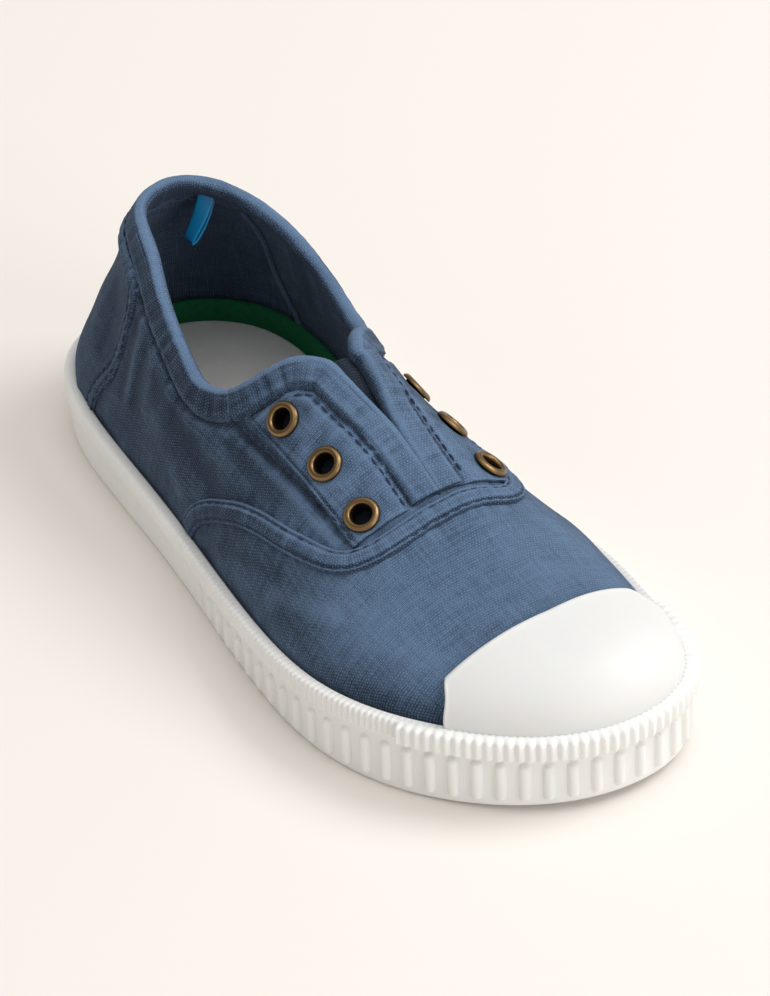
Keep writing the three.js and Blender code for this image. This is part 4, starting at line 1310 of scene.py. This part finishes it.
rib_phase = np.abs((travel / round_length[-1] * rib_count) % 1 - 0.5) * 2
rib_away = (1 - rib_phase) * RIB_PITCH / 2
rib_strength = 0.16 + 0.84 * np.clip((fox_share - 0.4) / 0.12, 0, 1)
knurl_strength = 0.3 + 0.7 * np.clip((fox_share - 0.3) / 0.15, 0, 1)
band_low = fox_top - TRIM_HEIGHT
rib_low, rib_high = fox_foot + RIB_FOOT, band_low - RIB_HEAD
fox_rows = []


def at_level(ring, level):
    """A ring drawn in the plan, lifted to a height or to a height for each of its points."""
    return np.concatenate([ring, (level + 0 * ring[:, 0])[:, None]], 1)


def fox_row(inset, height):
    ring = outline_point(fox_turn, np.asarray(inset) + 0 * fox_turn)
    fox_rows.append(at_level(ring, height))


fox_row(FOXING_THICKNESS - 0.05, fox_foot + 1.2)
fox_row(FOXING_THICKNESS - 0.05, fox_foot + 0.05)
fox_row(BAND_INSET + 0.8, fox_foot)
fox_row(BAND_INSET + 0.35, fox_foot + 0.1)
fox_row(BAND_INSET + 0.08, fox_foot + 0.4)
fox_row(BAND_INSET, fox_foot + 0.9)
for share in np.concatenate([[-0.05], np.linspace(0, 0.12, 5), np.linspace(0.24, 0.76, 5),
                             np.linspace(0.88, 1, 5), [1.06]]):
    level = rib_low + (rib_high - rib_low) * share
    end = np.maximum(np.maximum(rib_low + RIB_HALF - level, level - rib_high + RIB_HALF), 0)
    reach = np.hypot(rib_away, end)
    swell = np.clip(1 - (reach / RIB_HALF) ** 2, 0, 1) ** 0.5
    fox_row(BAND_INSET - RIB_PROUD * swell * rib_strength, level)
fox_row(BAND_INSET, band_low - 0.25)
for share, out in [(0, 0.1), (0.03, 0.6), (0.1, 0.92), (0.25, 1), (0.5, 1.0), (0.75, 1), (0.9, 0.9),
                   (0.97, 0.6), (1.0, 0.1)]:
    cut = KNURL_DEPTH * (1 - knurl) * min(out, 1) * knurl_strength
    fox_row(BAND_INSET * (1 - out) + cut, band_low + TRIM_HEIGHT * share)
fox_row(1.15, fox_top + 0.02 - 0.25 * (1 - knurl) * knurl_strength)
fox_row(FOXING_THICKNESS - 0.4, fox_top - 0.1)
fox_row(FOXING_THICKNESS - 0.02, fox_top - 0.5)
fox_grid = np.stack(fox_rows)
fox_chart = np.stack(np.broadcast_arrays(travel[None], fox_grid[..., 2]), -1)


# A band closed both ways: its last row meets its first, as its last column does
foxing = laid_sheet("foxing_rubber", np.concatenate([fox_grid, fox_grid[:1]]),
                    np.concatenate([fox_chart, fox_chart[:1]]))
with edit_mode(foxing):
    bpy.ops.mesh.remove_doubles(threshold=0.002 * MM)
    bpy.ops.mesh.normals_make_consistent(inside=False)
foxing.data.materials.append(rubber)
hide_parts("foxing")
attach(foxing, "root")

# Toe bumper
# A second strip of white rubber trim round the toe, with coarser ridges. It is glued over
# the foxing's top.
BUMPER_HEIGHT = 4.6
BUMPER_THICKNESS = 1.1
BUMPER_FROM = 0.845
BUMPER_PITCH = 2.0
at_toe = fox_share > BUMPER_FROM
bumper_turns, bumper_travel, bumper_share = fox_turn[at_toe], travel[at_toe], fox_share[at_toe]
ridge = 0.5 + 0.5 * np.cos((bumper_travel - bumper_travel[0]) / BUMPER_PITCH * 2 * np.pi)
ridge = ridge ** 0.7
bumper_top = side_top(bumper_share)
bumper_rows = []
for share, out, lift in [(0, 0.0, 0), (0.0, 0.5, 0), (0.06, 0.86, 0), (0.16, 1, 0), (0.4, 1.06, 0),
                         (0.6, 1.06, 0), (0.84, 1, 0), (0.95, 0.85, 0), (1, 0.45, 0.05),
                         (1, -0.3, 0.12), (1, -1.2, 0.0), (0.96, -1.6, 0.0), (0.5, -0.02, 0)]:
    cut = 0.6 * (1 - ridge) * (0.3 < out)
    inset = -GAP * 0.3 - BUMPER_THICKNESS * out + cut
    ring = outline_point(bumper_turns, inset if out > 0 else -BUMPER_THICKNESS * out - 0.05)
    level = bumper_top - BUMPER_HEIGHT * (1 - share) + lift
    level = level - 0.25 * (1 - ridge) * (share == 1) * (out > -1)
    bumper_rows.append(at_level(ring, level))
bumper_grid = np.stack(bumper_rows, 1)
bumper_chart = np.stack(np.broadcast_arrays(bumper_travel[:, None], bumper_grid[..., 2]), -1)
bumper = rolled("toe_bumper_rubber", bumper_grid[::-1], bumper_chart[::-1])
bumper.data.materials.append(rubber)
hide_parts("toe_bumper")
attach(bumper, "root")

# Outsole
# A flat rubber bottom inside the foxing, hollowed a little under the arch, with a shallow
# tread of cross ribs.
ARCH_RELIEF = 1.2
ARCH_FROM, ARCH_TO = 0.33, 0.53
TREAD_PITCH = 3.4
TREAD_DEPTH = 0.45
SOLE_COLUMNS = 360
sole_turn = np.linspace(0, 1, SOLE_COLUMNS + 1)
spine = np.stack([np.clip(outline_point(sole_turn)[:, 0], -62, 62), 0 * sole_turn], 1)


def sole_level(places):
    share = share_at(places[..., 0])
    arch = np.clip((share - ARCH_FROM) / (ARCH_TO - ARCH_FROM), 0, 1)
    return side_foot(share) + ARCH_RELIEF * np.sin(np.pi * arch)


sole_rows = []
rim_ring = outline_point(sole_turn, FOXING_THICKNESS + 0.05)
for share in np.linspace(0, 1, 90):
    ring = spine + (rim_ring - spine) * share
    level = sole_level(ring)
    tread = 0.5 + 0.5 * np.cos(ring[:, 0] / TREAD_PITCH * 2 * np.pi)
    level = level + TREAD_DEPTH * (tread > 0.62) * (share < 0.93)
    sole_rows.append(at_level(ring, level))
for inset, level in ((FOXING_THICKNESS + 0.05, OUTSOLE_THICKNESS - 0.4),
                     (FOXING_THICKNESS + 0.4, OUTSOLE_THICKNESS)):
    sole_rows.append(at_level(outline_point(sole_turn, inset), level))
sole_rows.append(at_level(spine, OUTSOLE_THICKNESS))
sole_grid = np.stack(sole_rows)
outsole = laid_sheet("outsole_rubber", sole_grid, sole_grid[..., :2])
close_up(outsole, 0.01)
outsole.data.materials.append(rubber)
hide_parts("outsole")
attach(outsole, "root")

# Insole
# A moulded green foam footbed with a raised rim, and an off-white cloth glued on it. Its
# print is left bare.
INSOLE_THICKNESS = 2.6
RIM_HEIGHT = 5.5
RIM_THICKNESS = 1.4
COVER_THICKNESS = 1.0
foam, foam_shader, add, maths, mix, clouds, link = nodes_for("green_foam")
cells = clouds(900.0, 3.0)
link(mix(cells, (0.0, 0.1, 0.032, 1), (0.004, 0.2, 0.07, 1)), "Base Color")
foam_shader.inputs["Roughness"].default_value = 0.85
link(add("ShaderNodeBump", {"Height": cells, "Distance": 0.06 * MM}).outputs[0], "Normal")
cover_cloth = woven("cover_cloth", (0.92, 0.91, 0.88, 1), (0.82, 0.81, 0.78, 1),
                    (0.75, 0.74, 0.7, 1), 0.45, 0.35)
insole_top = FEATHER_HEIGHT + INSOLE_THICKNESS
wall_line = UPPER_INSET + 2.0 + GAP
INSOLE_COLUMNS = 300
floor_turn = np.linspace(0, 1, INSOLE_COLUMNS)
floor_spine = np.stack([np.clip(outline_point(floor_turn)[:, 0], -60, 60), 0 * floor_turn], 1)


def drawn_in(inset, share):
    """The outline at an inset, drawn in to the middle line as the share falls to nothing."""
    return floor_spine + (outline_point(floor_turn, inset) - floor_spine) * share


insole_rows = []
for inset, level, share in [(wall_line, FEATHER_HEIGHT, 0), (wall_line, FEATHER_HEIGHT, 1),
                            (wall_line, insole_top + RIM_HEIGHT - 0.3, 1),
                            (wall_line + 0.2, insole_top + RIM_HEIGHT, 1),
                            (wall_line + 0.6, insole_top + RIM_HEIGHT, 1),
                            (wall_line + 0.9, insole_top + RIM_HEIGHT - 0.3, 1),
                            (wall_line + RIM_THICKNESS - 0.2, insole_top + 2.5, 1),
                            (wall_line + RIM_THICKNESS, insole_top + 0.6, 1),
                            (wall_line + RIM_THICKNESS + 0.5, insole_top + 0.05, 1),
                            (wall_line + RIM_THICKNESS + 1.0, insole_top, 1),
                            (wall_line + RIM_THICKNESS, insole_top, 0)]:
    insole_rows.append(at_level(drawn_in(inset, share), level))
insole_grid = np.stack(insole_rows)
insole = laid_sheet("insole_foam", insole_grid, insole_grid[..., :2])
close_up(insole, 0.01)
insole.data.materials.append(foam)
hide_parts("insole")
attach(insole, "root")
cover_rows = []
cover_edge = wall_line + RIM_THICKNESS + 0.6
for share in (0, 1):
    cover_rows.append(at_level(drawn_in(cover_edge, share), insole_top + GAP))
for inset, level in [(0, 0.7), (0.15, 0.9), (0.4, 1.0)]:
    ring = outline_point(floor_turn, cover_edge + inset)
    cover_rows.append(at_level(ring, insole_top + GAP + level))
for share in np.linspace(0.97, 0, 40):
    ring = drawn_in(cover_edge + 0.4, share)
    level = insole_top + GAP + COVER_THICKNESS + 0.12 * soft_waves(
        at_level(ring, 0.0), 14, 6) * (share > 0)
    cover_rows.append(at_level(ring, level))
cover_grid = np.stack(cover_rows)
cover = laid_sheet("insole_cover_cloth", cover_grid, cover_grid[..., :2])
close_up(cover, 0.01)
cover.data.materials.append(cover_cloth)
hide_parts("insole_cover")
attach(cover, "root")

# Heel loop
# A short blue satin ribbon, left blank. It is folded in two and its ends are sewn in under
# the hem inside the heel.
ribbon, ribbon_shader, add, maths, mix, clouds, link = nodes_for("blue_satin")
body = add("ShaderNodeTexCoord").outputs["Object"]
threads = add("ShaderNodeTexWave", {"Vector": body, "Scale": 900.0}, bands_direction="Z").outputs[1]
link(mix(threads, (0.0, 0.17, 0.42, 1), (0.01, 0.27, 0.55, 1)), "Base Color")
ribbon_shader.inputs["Roughness"].default_value = 0.4
LOOP_WIDTH = 3.4
LOOP_DROP = 8.6
LOOP_SWAY = 5.6
loop_low, loop_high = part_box("heel_loop")
loop_y = (loop_low.y + loop_high.y) / 2 / MM - ROW_SHIFT[1] + 3.2
loop_z = loop_high.z / MM - 0.4
wall_x = form_tree.ray_cast(Vector((-99, loop_y, loop_z)), Vector((1, 0, 0)))[0].x
loop_rows = []
for u in np.linspace(-1, 1, 45):
    depth = 1 - abs(u)
    twist = 0.5 + 1.15 * depth ** 0.6
    wide = np.array([math.sin(twist), math.cos(twist), 0.1 * depth])
    hang = np.array([0.25, -LOOP_SWAY / LOOP_DROP * depth ** 0.5, -1])
    layer = np.cross(hang / np.linalg.norm(hang), wide)
    middle = np.array([wall_x + CANVAS_WALL + 1.1 + 1.6 * math.sin(depth * math.pi / 2),
                       loop_y - LOOP_SWAY * depth ** 1.3, loop_z - LOOP_DROP * depth])
    middle = middle + layer * math.copysign(0.55 * (1 - depth ** 8) ** 0.5, u)
    loop_rows.append(middle + np.linspace(-0.5, 0.5, 9)[:, None] * wide * LOOP_WIDTH)
loop_grid = np.stack(loop_rows)
loop_chart = np.stack(np.meshgrid(np.linspace(-2.3, 2.3, 9), np.linspace(0, 17, 45)), -1)
loop = laid_sheet("heel_loop_ribbon", loop_grid, loop_chart)
modified(loop, "SOLIDIFY", thickness=0.35 * MM, offset=0)
loop.data.materials.append(ribbon)
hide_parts("heel_loop")
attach(loop, "root")
